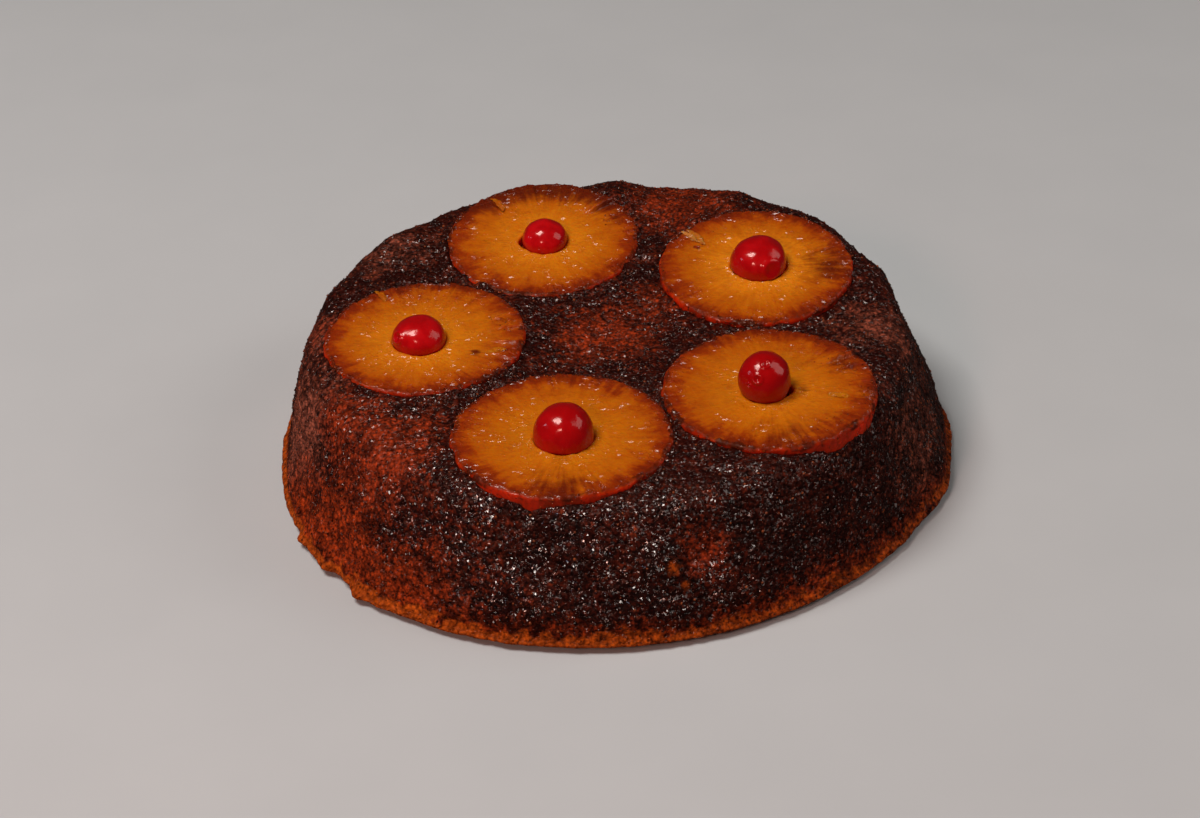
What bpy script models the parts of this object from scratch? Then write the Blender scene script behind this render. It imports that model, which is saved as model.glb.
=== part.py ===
"""A pineapple upside-down cake, baked in a flared round tin and turned out whole.

The sponge with its caramel crust is one solid. Five pineapple rings are sunk in its top, each
in a pocket of its own, and a cherry stands in the hole of each ring. Metres, +Z up, front
towards -Y, origin at the middle of the flat base.
"""

import math
from dataclasses import dataclass

import bmesh
import bpy
from mathutils import Matrix, Vector, noise

MM = 0.001
GAP = 0.3 * MM  # clearance between pieces that touch in the real cake

# Sponge. Both outlines are uneven: a radius every 30 degrees, in mm, round from +X by +Y
BASE_OUTLINE = (134.0, 134.5, 131.5, 129.0, 129.5, 130.0, 127.0, 127.2, 130.6, 128.2, 127.0, 129.4)
TOP_OUTLINE = (114.6, 115.4, 113.6, 110.2, 110.4, 113.4, 112.8, 112.2, 112.6, 113.6, 112.4, 115.6)
SHOULDER = 10.0 * MM  # how far the rounding reaches from the top's corner, both ways
SIDE_BULGE = 0.8 * MM
BACK_FALL_START = 68.0 * MM  # behind this the top sinks towards its edge
BACK_FALL = 2.7  # metres of drop for each square metre of that distance

# Lip that spread over the tin's edge, with a shadow gap under it
LIP_TOP = 5.2 * MM
LIP_MIDDLE = 3.2 * MM
LIP_OUT = 1.7 * MM
LIP_UNDER = 1.3 * MM
FOOT_IN = 2.6 * MM
LIP_NOISE_SCALE = 17.0 * MM

# Crust relief
SWELL_SCALE, SWELL_HEIGHT = 27.0 * MM, 1.5 * MM
CRAG_SCALE, CRAG_HEIGHT = 9.5 * MM, 0.9 * MM
RELIEF_FADE = 8.0 * MM  # height over which the relief grows above the lip

# Mesh density of the sponge
AZIMUTH_STEPS = 144
TOP_RADII = (0.17, 0.35, 0.51, 0.65, 0.78, 0.9, 1.0)
SHOULDER_STEPS = 4
SIDE_STEPS = 9

# Fruit
RING_THICKNESS = 9.0 * MM
RING_EDGE = 1.5 * MM  # rounding of the rings' edges
RING_STEPS = 48
RING_NOTCHES = 15
RING_WAVE = 0.55 * MM
POCKET_STEPS = 48
POCKET_REACH = 30.0 * MM
CHERRY_STEPS = 18
CHERRY_ROWS = 9


@dataclass(frozen=True)
class Knob:
    """A crag, or where its height is negative a scar, in the crust."""

    azimuth: float
    z: float
    height: float
    width: float
    turned_up: float = 0.0  # share of the height that points up and not out


@dataclass(frozen=True)
class Cherry:
    """A cherry, placed from the middle of its ring's hole and the ring's upper face."""

    x: float
    y: float
    z: float
    radius: float
    up: float  # from its widest level to its top
    down: float  # from its widest level to its seat
    lobe: float  # share of the radius that its unevenness takes
    dent_azimuth: float


@dataclass(frozen=True)
class Ring:
    """A pineapple ring, the lie of its upper face and its cherry."""

    name: str
    x: float
    y: float
    z: float
    slope_x: float
    slope_y: float
    radius: float
    proud: float  # how far its face stands above the crust round it
    hole_radius: float
    hole_x: float
    hole_y: float
    cherry: Cherry

    def face_height(self, x, y):
        """Height of the ring's upper face, drawn on past its edge."""
        rise_x = math.tan(math.radians(self.slope_x)) * (x - self.x)
        rise_y = math.tan(math.radians(self.slope_y)) * (y - self.y)
        return self.z + rise_x + rise_y

    def matrix(self):
        """Places the ring: its upper face lies on the local XY plane."""
        tan_x = math.tan(math.radians(self.slope_x))
        tan_y = math.tan(math.radians(self.slope_y))
        turn = Vector((0, 0, 1)).rotation_difference(Vector((-tan_x, -tan_y, 1)))
        return Matrix.Translation((self.x, self.y, self.z)) @ turn.to_matrix().to_4x4()


KNOBS = (
    Knob(azimuth=87, z=62 * MM, height=3.4 * MM, width=9 * MM, turned_up=0.9),
    Knob(azimuth=59, z=62 * MM, height=2.4 * MM, width=8 * MM, turned_up=0.9),
    Knob(azimuth=110, z=60 * MM, height=1.6 * MM, width=12 * MM, turned_up=0.6),
    Knob(azimuth=140, z=56 * MM, height=1.5 * MM, width=9 * MM, turned_up=0.5),
    Knob(azimuth=163, z=56 * MM, height=3.2 * MM, width=9 * MM, turned_up=0.5),
    Knob(azimuth=190, z=44 * MM, height=2.4 * MM, width=11 * MM),
    Knob(azimuth=-75, z=30 * MM, height=-1.6 * MM, width=11 * MM),
    Knob(azimuth=-33, z=22 * MM, height=-1.4 * MM, width=9 * MM),
    Knob(azimuth=-16, z=9 * MM, height=2.2 * MM, width=15 * MM),
    Knob(azimuth=40, z=60 * MM, height=1.6 * MM, width=14 * MM, turned_up=0.8),
    Knob(azimuth=212, z=6 * MM, height=2.6 * MM, width=14 * MM),
    Knob(azimuth=228, z=5 * MM, height=2.2 * MM, width=12 * MM),
    Knob(azimuth=197, z=7 * MM, height=1.6 * MM, width=11 * MM),
    Knob(azimuth=20, z=50 * MM, height=1.5 * MM, width=12 * MM),
    Knob(azimuth=-118, z=44 * MM, height=1.4 * MM, width=10 * MM),
    Knob(azimuth=72, z=25 * MM, height=1.8 * MM, width=13 * MM),
    Knob(azimuth=125, z=20 * MM, height=-1.5 * MM, width=12 * MM),
)

RINGS = (
    Ring(
        name="back_left",
        x=-24.4 * MM, y=60.4 * MM, z=61.7 * MM, slope_x=0.9, slope_y=6.4,
        radius=38.7 * MM, proud=1.2 * MM,
        hole_radius=11.2 * MM, hole_x=0.4 * MM, hole_y=-1.8 * MM,
        cherry=Cherry(0.5 * MM, -0.6 * MM, 1.0 * MM, 9.2 * MM, 7.6 * MM, 7.4 * MM, 0.03, 200),
    ),
    Ring(
        name="back_right",
        x=60.1 * MM, y=35.8 * MM, z=61.1 * MM, slope_x=0.5, slope_y=5.7,
        radius=38.3 * MM, proud=3.0 * MM,
        hole_radius=12.0 * MM, hole_x=1.2 * MM, hole_y=0.0,
        cherry=Cherry(0.2 * MM, -0.2 * MM, 1.2 * MM, 11.4 * MM, 10.1 * MM, 8.0 * MM, 0.04, -40),
    ),
    Ring(
        name="left",
        x=-69.0 * MM, y=-6.5 * MM, z=57.9 * MM, slope_x=0.6, slope_y=1.6,
        radius=38.7 * MM, proud=1.2 * MM,
        hole_radius=11.4 * MM, hole_x=-1.6 * MM, hole_y=-3.4 * MM,
        cherry=Cherry(-0.3 * MM, -0.4 * MM, 1.0 * MM, 10.5 * MM, 8.4 * MM, 7.8 * MM, 0.06, 230),
    ),
    Ring(
        name="front_right",
        x=60.3 * MM, y=-46.0 * MM, z=56.8 * MM, slope_x=0.7, slope_y=0.9,
        radius=40.0 * MM, proud=2.2 * MM,
        hole_radius=11.4 * MM, hole_x=-0.3 * MM, hole_y=-1.6 * MM,
        cherry=Cherry(-1.6 * MM, -1.2 * MM, 5.2 * MM, 9.9 * MM, 10.4 * MM, 10.2 * MM, 0.03, 15),
    ),
    Ring(
        name="front",
        x=-16.4 * MM, y=-70.9 * MM, z=54.9 * MM, slope_x=0.0, slope_y=-0.2,
        radius=40.6 * MM, proud=1.6 * MM,
        hole_radius=11.7 * MM, hole_x=0.4 * MM, hole_y=-3.2 * MM,
        cherry=Cherry(0.6 * MM, -0.3 * MM, 3.0 * MM, 10.9 * MM, 10.2 * MM, 9.4 * MM, 0.04, -35),
    ),
)


def clear_scene():
    """Removes every object that the file starts with."""
    for obj in list(bpy.data.objects):
        bpy.data.objects.remove(obj, do_unlink=True)


def make_material(name, colour, roughness):
    """Returns a Principled material of one colour."""
    material = bpy.data.materials.new(name)
    material.use_nodes = True
    shader = material.node_tree.nodes["Principled BSDF"]
    shader.inputs["Base Color"].default_value = (*colour, 1.0)
    shader.inputs["Roughness"].default_value = roughness
    shader.inputs["Metallic"].default_value = 0.0
    material.diffuse_color = (*colour, 1.0)
    return material


def make_object(name, bm, material, parent):
    """Turns a bmesh into a smooth-shaded object under the parent."""
    bmesh.ops.recalc_face_normals(bm, faces=bm.faces)
    mesh = bpy.data.meshes.new(name)
    bm.to_mesh(mesh)
    bm.free()
    mesh.shade_smooth()
    obj = bpy.data.objects.new(name, mesh)
    bpy.context.scene.collection.objects.link(obj)
    obj.parent = parent
    if material:
        mesh.materials.append(material)
    return obj


def smoothstep(value):
    """Eases 0 to 1, and holds both ends."""
    value = min(max(value, 0.0), 1.0)
    return value * value * (3.0 - 2.0 * value)


def bridge(bm, loops):
    """Joins closed loops of the same number of vertices by quads."""
    for upper, lower in zip(loops, loops[1:]):
        for k in range(len(upper)):
            after = (k + 1) % len(upper)
            bm.faces.new((upper[k], lower[k], lower[after], upper[after]))


def around(radii, azimuth):
    """Smooth closed curve through evenly spaced radii in mm, read at this azimuth."""
    count = len(radii)
    place = azimuth / math.tau * count
    first = math.floor(place)
    u = place - first
    before, start, end, after = (radii[(first + k) % count] for k in (-1, 0, 1, 2))
    slope_start, slope_end = (end - before) / 2, (after - start) / 2
    cubic = 2 * (start - end) + slope_start + slope_end
    square = 3 * (end - start) - 2 * slope_start - slope_end
    return MM * (((cubic * u + square) * u + slope_start) * u + start)


def crust_height(x, y):
    """Height of the crust's top: it follows the faces of the rings nearby."""
    total = weights = 0.0
    for ring in RINGS:
        away = max(math.hypot(x - ring.x, y - ring.y) - 0.6 * ring.radius, 4 * MM)
        weight = 1.0 / away**2
        total += weight * (ring.face_height(x, y) - ring.proud)
        weights += weight
    fall = BACK_FALL * max(y - BACK_FALL_START, 0.0) ** 2
    return total / weights - fall


def fractal(point, scale, seed):
    """Smooth noise from about -1 to 1 that repeats on each run."""
    return noise.noise(point / scale + Vector((seed, 2.3 * seed, 5.1 * seed)))


def relief(point):
    """How far the crust stands out of its smooth form at this point."""
    fade = smoothstep((point.z - LIP_TOP) / RELIEF_FADE)
    swell = SWELL_HEIGHT * fractal(point, SWELL_SCALE, 3.0)
    crag = CRAG_HEIGHT * fractal(point, CRAG_SCALE, 7.0)
    return fade * (swell + crag)


def knob_push(point, outward):
    """Sum of the knobs' and scars' offsets at this point."""
    push = Vector()
    for knob in KNOBS:
        azimuth = math.radians(knob.azimuth)
        reach = math.hypot(point.x, point.y)
        middle = Vector((reach * math.cos(azimuth), reach * math.sin(azimuth), knob.z))
        nearness = math.exp(-(((point - middle).length / knob.width) ** 2))
        direction = outward * (1.0 - knob.turned_up) + Vector((0, 0, knob.turned_up))
        push += knob.height * nearness * direction
    return push


def section(azimuth):
    """Points of the sponge's skin from near its middle to its foot, at one azimuth."""
    outward = Vector((math.cos(azimuth), math.sin(azimuth), 0))

    def on_top(radius):
        return outward * radius + Vector((0, 0, crust_height(*(outward.xy * radius))))

    foot_radius = around(BASE_OUTLINE, azimuth)
    corner = on_top(around(TOP_OUTLINE, azimuth))
    side_foot = outward * foot_radius + Vector((0, 0, LIP_TOP))
    slant = side_foot - corner
    shoulder_in = corner.xy.length - SHOULDER
    shoulder_top = on_top(shoulder_in)
    shoulder_side = corner + slant.normalized() * SHOULDER
    points = [on_top(share * shoulder_in) for share in TOP_RADII]
    for step in range(1, SHOULDER_STEPS + 1):
        u = step / SHOULDER_STEPS
        points.append(
            (1 - u) ** 2 * shoulder_top + 2 * u * (1 - u) * corner + u**2 * shoulder_side
        )
    for step in range(1, SIDE_STEPS + 1):
        u = step / SIDE_STEPS
        bulge = SIDE_BULGE * math.sin(math.pi * u)
        points.append(shoulder_side.lerp(side_foot, u) + outward * bulge)
    rough = []
    for index, point in enumerate(points):
        along = smoothstep((index - len(TOP_RADII) + 1) / SHOULDER_STEPS)
        push = outward * along + Vector((0, 0, 1.0 - along))
        rough.append(point + push * relief(point) + knob_push(point, outward))
    lip_noise = fractal(outward * foot_radius, LIP_NOISE_SCALE, 11.0)
    for out, z in (
        (LIP_OUT * (1.0 + 0.5 * lip_noise), LIP_MIDDLE),
        (LIP_OUT * 0.3 * (1.0 + lip_noise), LIP_UNDER),
    ):
        point = outward * (foot_radius + out) + Vector((0, 0, z))
        rough.append(point + knob_push(point, outward))
    rough.append(outward * (foot_radius - FOOT_IN))
    return rough


def build_sponge():
    """Returns the bmesh of the sponge before its pockets are cut."""
    bm = bmesh.new()
    step = math.tau / AZIMUTH_STEPS
    sections = [section(k * step) for k in range(AZIMUTH_STEPS)]
    loops = [[bm.verts.new(point) for point in loop] for loop in zip(*sections)]
    bridge(bm, loops)
    middle = Vector((0, 0, crust_height(0, 0)))
    top = bm.verts.new(middle + Vector((0, 0, relief(middle))))
    for k, vertex in enumerate(loops[0]):
        bm.faces.new((top, vertex, loops[0][(k + 1) % AZIMUTH_STEPS]))
    bm.faces.new(loops[-1])
    return bm


def room_to_neighbours(ring, direction):
    """Distance from the ring's middle, this way, to the flat where it meets another ring."""
    room = POCKET_REACH + ring.radius
    for other in RINGS:
        between = Vector((other.x - ring.x, other.y - ring.y, 0))
        if other is ring or between.dot(direction) <= 0:
            continue
        flat = (between.length + ring.radius - other.radius - 1.5 * GAP) / 2
        room = min(room, flat * between.length / between.dot(direction))
    return room


def ring_edge(ring, azimuth):
    """Radius of the ring's notched outer edge at this azimuth."""
    seed = 10.0 * (1 + RINGS.index(ring))
    direction = Vector((math.cos(azimuth), math.sin(azimuth), 0))
    wander = 0.6 * fractal(direction, 0.8, seed)
    notch = abs(math.sin(0.5 * RING_NOTCHES * azimuth + 1.5 * wander + seed))
    edge = ring.radius + RING_WAVE * (1.4 * notch - 0.7 + wander)
    return min(edge, room_to_neighbours(ring, direction))


def build_ring(ring):
    """Returns the bmesh of a ring, its upper face at local height 0."""
    bm = bmesh.new()
    hole = Vector((ring.hole_x, ring.hole_y, 0))
    loops = [[] for _ in range(8)]
    for k in range(RING_STEPS):
        azimuth = math.tau * k / RING_STEPS
        direction = Vector((math.cos(azimuth), math.sin(azimuth), 0))
        outer = ring_edge(ring, azimuth)
        bevel = RING_EDGE * (1 - math.sqrt(0.5))
        path = (
            (hole, ring.hole_radius, -RING_THICKNESS),
            (hole, ring.hole_radius, -0.8 * RING_EDGE),
            (hole, ring.hole_radius + RING_EDGE, 0.0),
            (Vector(), outer - 1.2 * RING_EDGE, 0.0),
            (Vector(), outer - bevel, -bevel),
            (Vector(), outer, -RING_EDGE),
            (Vector(), outer - 0.3 * RING_EDGE, RING_EDGE - RING_THICKNESS),
            (Vector(), outer - RING_EDGE, -RING_THICKNESS),
        )
        for loop, (middle, radius, z) in zip(loops, path):
            loop.append(bm.verts.new(middle + direction * radius + Vector((0, 0, z))))
    bridge(bm, loops + loops[:1])
    return bm


def build_cherry(ring):
    """Returns the bmesh of a ring's cherry, in the ring's own frame."""
    cherry = ring.cherry
    bm = bmesh.new()
    seat = cherry.z - cherry.down
    in_hole = ring.hole_radius - GAP - 0.5 * RING_EDGE
    loops = []
    for row in range(1, CHERRY_ROWS + 1):
        tilt = math.pi * row / (CHERRY_ROWS + 1)
        loop = []
        for k in range(CHERRY_STEPS):
            azimuth = math.tau * k / CHERRY_STEPS
            dent = math.cos(azimuth - math.radians(cherry.dent_azimuth))
            uneven = 1.0 - cherry.lobe * (0.6 * max(dent, 0.0) + 0.4 * math.cos(3 * azimuth))
            across = cherry.radius * math.sin(tilt) ** 0.9 * uneven
            reach = cherry.up if tilt < math.pi / 2 else cherry.down
            z = cherry.z + reach * math.cos(tilt)
            x = cherry.x + across * math.cos(azimuth)
            y = cherry.y + across * math.sin(azimuth)
            inside = min(1.0, in_hole / max(math.hypot(x, y), GAP)) if z < RING_EDGE else 1.0
            place = Vector((ring.hole_x + x * inside, ring.hole_y + y * inside, z))
            loop.append(bm.verts.new(place))
        loops.append(loop)
    bridge(bm, loops)
    middle = (ring.hole_x + cherry.x, ring.hole_y + cherry.y)
    top = bm.verts.new((*middle, cherry.z + cherry.up))
    for k, vertex in enumerate(loops[0]):
        bm.faces.new((top, vertex, loops[0][(k + 1) % CHERRY_STEPS]))
    for vertex in loops[-1]:
        vertex.co.z = seat
    bm.faces.new(loops[-1])
    return bm


def build_pocket(ring):
    """Returns the bmesh that cuts a ring's pocket and leaves the sponge under its cherry."""
    bm = bmesh.new()
    outer = ring.radius + 1.3 * RING_WAVE + GAP
    floor = -RING_THICKNESS - GAP
    seat = ring.cherry.z - ring.cherry.down - GAP
    hole = Vector((ring.hole_x, ring.hole_y, 0))
    loops = [[] for _ in range(4)]
    for k in range(POCKET_STEPS):
        azimuth = math.tau * k / POCKET_STEPS
        direction = Vector((math.cos(azimuth), math.sin(azimuth), 0))
        path = (
            (hole, ring.hole_radius - GAP, seat),
            (hole, ring.hole_radius - GAP, floor),
            (Vector(), outer, floor),
            (Vector(), outer, POCKET_REACH),
        )
        for loop, (middle, radius, z) in zip(loops, path):
            loop.append(bm.verts.new(middle + direction * radius + Vector((0, 0, z))))
    bridge(bm, loops)
    bm.faces.new(loops[0])
    bm.faces.new(loops[-1])
    return bm


def cut_pocket(sponge, cutter, name):
    """Cuts the sponge with a pocket, as a Boolean that stays on it."""
    cutter.hide_render = True
    cutter.display_type = "WIRE"
    cut = sponge.modifiers.new(name, "BOOLEAN")
    cut.operation = "DIFFERENCE"
    cut.solver = "EXACT"
    cut.object = cutter


def main():
    """Builds the cake with the middle of its outline over the origin."""
    clear_scene()
    crust = make_material("crust", (0.10, 0.030, 0.012), 0.45)
    pineapple = make_material("pineapple", (0.62, 0.24, 0.02), 0.35)
    cherry_red = make_material("cherry", (0.42, 0.008, 0.008), 0.12)
    stand = bpy.data.objects.new("stand", None)
    bpy.context.scene.collection.objects.link(stand)
    sponge = make_object("cake", build_sponge(), crust, stand)
    xs = [vertex.co.x for vertex in sponge.data.vertices]
    ys = [vertex.co.y for vertex in sponge.data.vertices]
    stand.location = (-(min(xs) + max(xs)) / 2, -(min(ys) + max(ys)) / 2, 0)
    for ring in RINGS:
        place = ring.matrix()
        fruit = make_object(f"pineapple_ring_{ring.name}", build_ring(ring), pineapple, stand)
        cherry = make_object(f"cherry_{ring.name}", build_cherry(ring), cherry_red, stand)
        cutter = make_object(f"pocket_{ring.name}", build_pocket(ring), None, stand)
        for obj in (fruit, cherry, cutter):
            obj.matrix_local = place
        cut_pocket(sponge, cutter, f"pocket_{ring.name}")


main()
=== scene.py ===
"""Looks of a pineapple upside-down cake: a dark caramel crust, five pineapple rings, five cherries.

Everything is in metres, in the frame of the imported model: +Z up, the front towards -Y, the middle
of the flat base at the origin. The sizes of the main forms are those of the solids.
"""

import logging
import math
from collections.abc import Iterable, Sequence
from dataclasses import dataclass, field
from enum import Enum

import bpy
import numpy as np
from mathutils import Matrix, Vector, noise


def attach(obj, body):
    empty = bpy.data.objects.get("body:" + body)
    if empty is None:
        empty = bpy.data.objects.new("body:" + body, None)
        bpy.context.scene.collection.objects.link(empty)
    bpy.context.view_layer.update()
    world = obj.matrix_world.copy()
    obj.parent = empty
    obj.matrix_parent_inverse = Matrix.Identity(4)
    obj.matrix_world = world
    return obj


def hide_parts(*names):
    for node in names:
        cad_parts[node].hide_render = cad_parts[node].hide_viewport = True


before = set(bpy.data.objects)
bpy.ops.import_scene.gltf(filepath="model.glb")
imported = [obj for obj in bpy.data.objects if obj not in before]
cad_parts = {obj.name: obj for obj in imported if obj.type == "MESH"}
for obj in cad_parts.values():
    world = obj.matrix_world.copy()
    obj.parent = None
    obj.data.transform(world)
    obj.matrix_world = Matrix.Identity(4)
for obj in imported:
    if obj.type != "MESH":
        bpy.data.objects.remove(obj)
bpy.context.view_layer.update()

MM = 0.001
GAP = 0.3 * MM
BODY = "root"
AXIS = np.array((-3.5899, -0.5880, 0.0)) * MM  # the cake's axis, off the middle of its outline
CELL_MIDDLE = (0.5, 0.5, 0.5)  # the mean of the colours that cells and noise take

Socket = bpy.types.NodeSocket
Colour = tuple[float, float, float]
Triple = tuple[float, float, float]
Span = tuple[float, float]

log = logging.getLogger("cake")


class Slot(Enum):
    """Material slots of the record."""

    CRUST = "crust"
    PINEAPPLE = "pineapple"
    CHERRY = "cherry"


class Tone(Enum):
    """How the crust baked in one place, named as the mesh attribute that says how much; ember and rim also
    carry painted light.
    """

    EMBER = "ember"
    SPONGE = "sponge"
    ASH = "ash"
    RIM = "rim"


class Layer(Enum):
    """Mesh attributes that the trees and finishes read."""

    ROUGH = "rough"
    PIT = "pit"
    SPRINKLE = "sprinkle"
    FIBRE = "fibre"
    SHARE = "share"
    BROWNED = "browned"
    SIDE = "side"
    PALE = "pale"
    WET = "wet"


# Small tools.


def smoothstep(value: np.ndarray) -> np.ndarray:
    """Eases 0 to 1, and holds both ends."""
    value = np.clip(value, 0.0, 1.0)
    return value * value * (3.0 - 2.0 * value)


def fractal(points: np.ndarray, scale: float, seed: float) -> np.ndarray:
    """Smooth noise from about -1 to 1.

    Args:
        points: one point a row.
        scale: size of the noise's features.
        seed: picks the noise.

    Returns:
        One value a point.
    """
    moved = points / scale + np.array((seed, 2.3 * seed, 5.1 * seed))
    return np.fromiter(map(noise.noise, moved.tolist()), float, len(moved))


@dataclass(frozen=True)
class Ripple:
    """Smooth noise of one height, feature size and seed."""

    height: float
    scale: float
    seed: float = 0.0

    def at(self, points: np.ndarray, number: float = 0.0) -> np.ndarray:
        """Its value at each point, with the number added to its seed."""
        return self.height * fractal(points, self.scale, self.seed + number)


def directions(azimuth: np.ndarray) -> np.ndarray:
    """Horizontal unit vectors at these azimuths."""
    return np.stack((np.cos(azimuth), np.sin(azimuth), np.zeros_like(azimuth)), axis=-1)


def raised(height: np.ndarray | float) -> np.ndarray:
    """Upright vectors of these heights."""
    height = np.asarray(height, float)
    return np.stack((np.zeros_like(height), np.zeros_like(height), height), axis=-1)


def around(radii: Sequence[float], azimuth: np.ndarray) -> np.ndarray:
    """Smooth closed curve through evenly spaced radii.

    Args:
        radii: radii in mm, the first at +X, then by +Y.
        azimuth: where the curve is read.

    Returns:
        The radius in metres at each azimuth.
    """
    known = np.array(radii)
    place = azimuth / math.tau * len(known)
    first = np.floor(place).astype(int)
    u = place - first
    before, start, end, after = (known[(first + k) % len(known)] for k in (-1, 0, 1, 2))
    slope_start, slope_end = (end - before) / 2, (after - start) / 2
    cubic = 2 * (start - end) + slope_start + slope_end
    square = 3 * (end - start) - 2 * slope_start - slope_end
    return MM * (((cubic * u + square) * u + slope_start) * u + start)


def link_object(name: str, mesh: bpy.types.Mesh) -> bpy.types.Object:
    """Puts a mesh into the scene as an object at the origin.

    Args:
        name: the object's name.
        mesh: its mesh.

    Returns:
        The object.
    """
    obj = bpy.data.objects.new(name, mesh)
    bpy.context.scene.collection.objects.link(obj)
    return obj


def make_mesh(name: str, points: np.ndarray, faces: Iterable[Sequence[int]]) -> bpy.types.Mesh:
    """Makes a smooth-shaded mesh.

    Args:
        name: the mesh's name.
        points: one vertex a row.
        faces: vertex numbers of each face, seen from outside anticlockwise.

    Returns:
        The mesh.
    """
    mesh = bpy.data.meshes.new(name)
    mesh.from_pydata(points.tolist(), [], [list(face) for face in faces])
    mesh.shade_smooth()
    mesh.update()
    return mesh


def store(mesh: bpy.types.Mesh, layers: dict[Enum, np.ndarray | float]) -> None:
    """Keeps attributes on a mesh.

    Args:
        mesh: the mesh.
        layers: for each attribute a number or vector a vertex, or one number for them all.
    """
    for layer, given in layers.items():
        values = np.asarray(given, np.float32)
        if values.ndim == 0:
            values = np.full(len(mesh.vertices), values)
        kind, entry = ("FLOAT", "value") if values.ndim == 1 else ("FLOAT_VECTOR", "vector")
        mesh.attributes.new(layer.value, kind, "POINT").data.foreach_set(entry, values.ravel())


def belt_faces(loops: Sequence[np.ndarray], closed: bool = False) -> list[tuple[int, ...]]:
    """Joins loops of vertex numbers, each as long as the next, by quads.

    Args:
        loops: the loops, running anticlockwise seen from above, from the top down on an outside.
        closed: whether the last loop joins the first.

    Returns:
        The quads.
    """
    pairs = list(zip(loops, loops[1:]))
    if closed:
        pairs.append((loops[-1], loops[0]))
    faces: list[tuple[int, ...]] = []
    for upper, lower in pairs:
        above, below = np.roll(upper, -1), np.roll(lower, -1)
        faces.extend(zip(upper.tolist(), lower.tolist(), below.tolist(), above.tolist()))
    return faces


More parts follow.
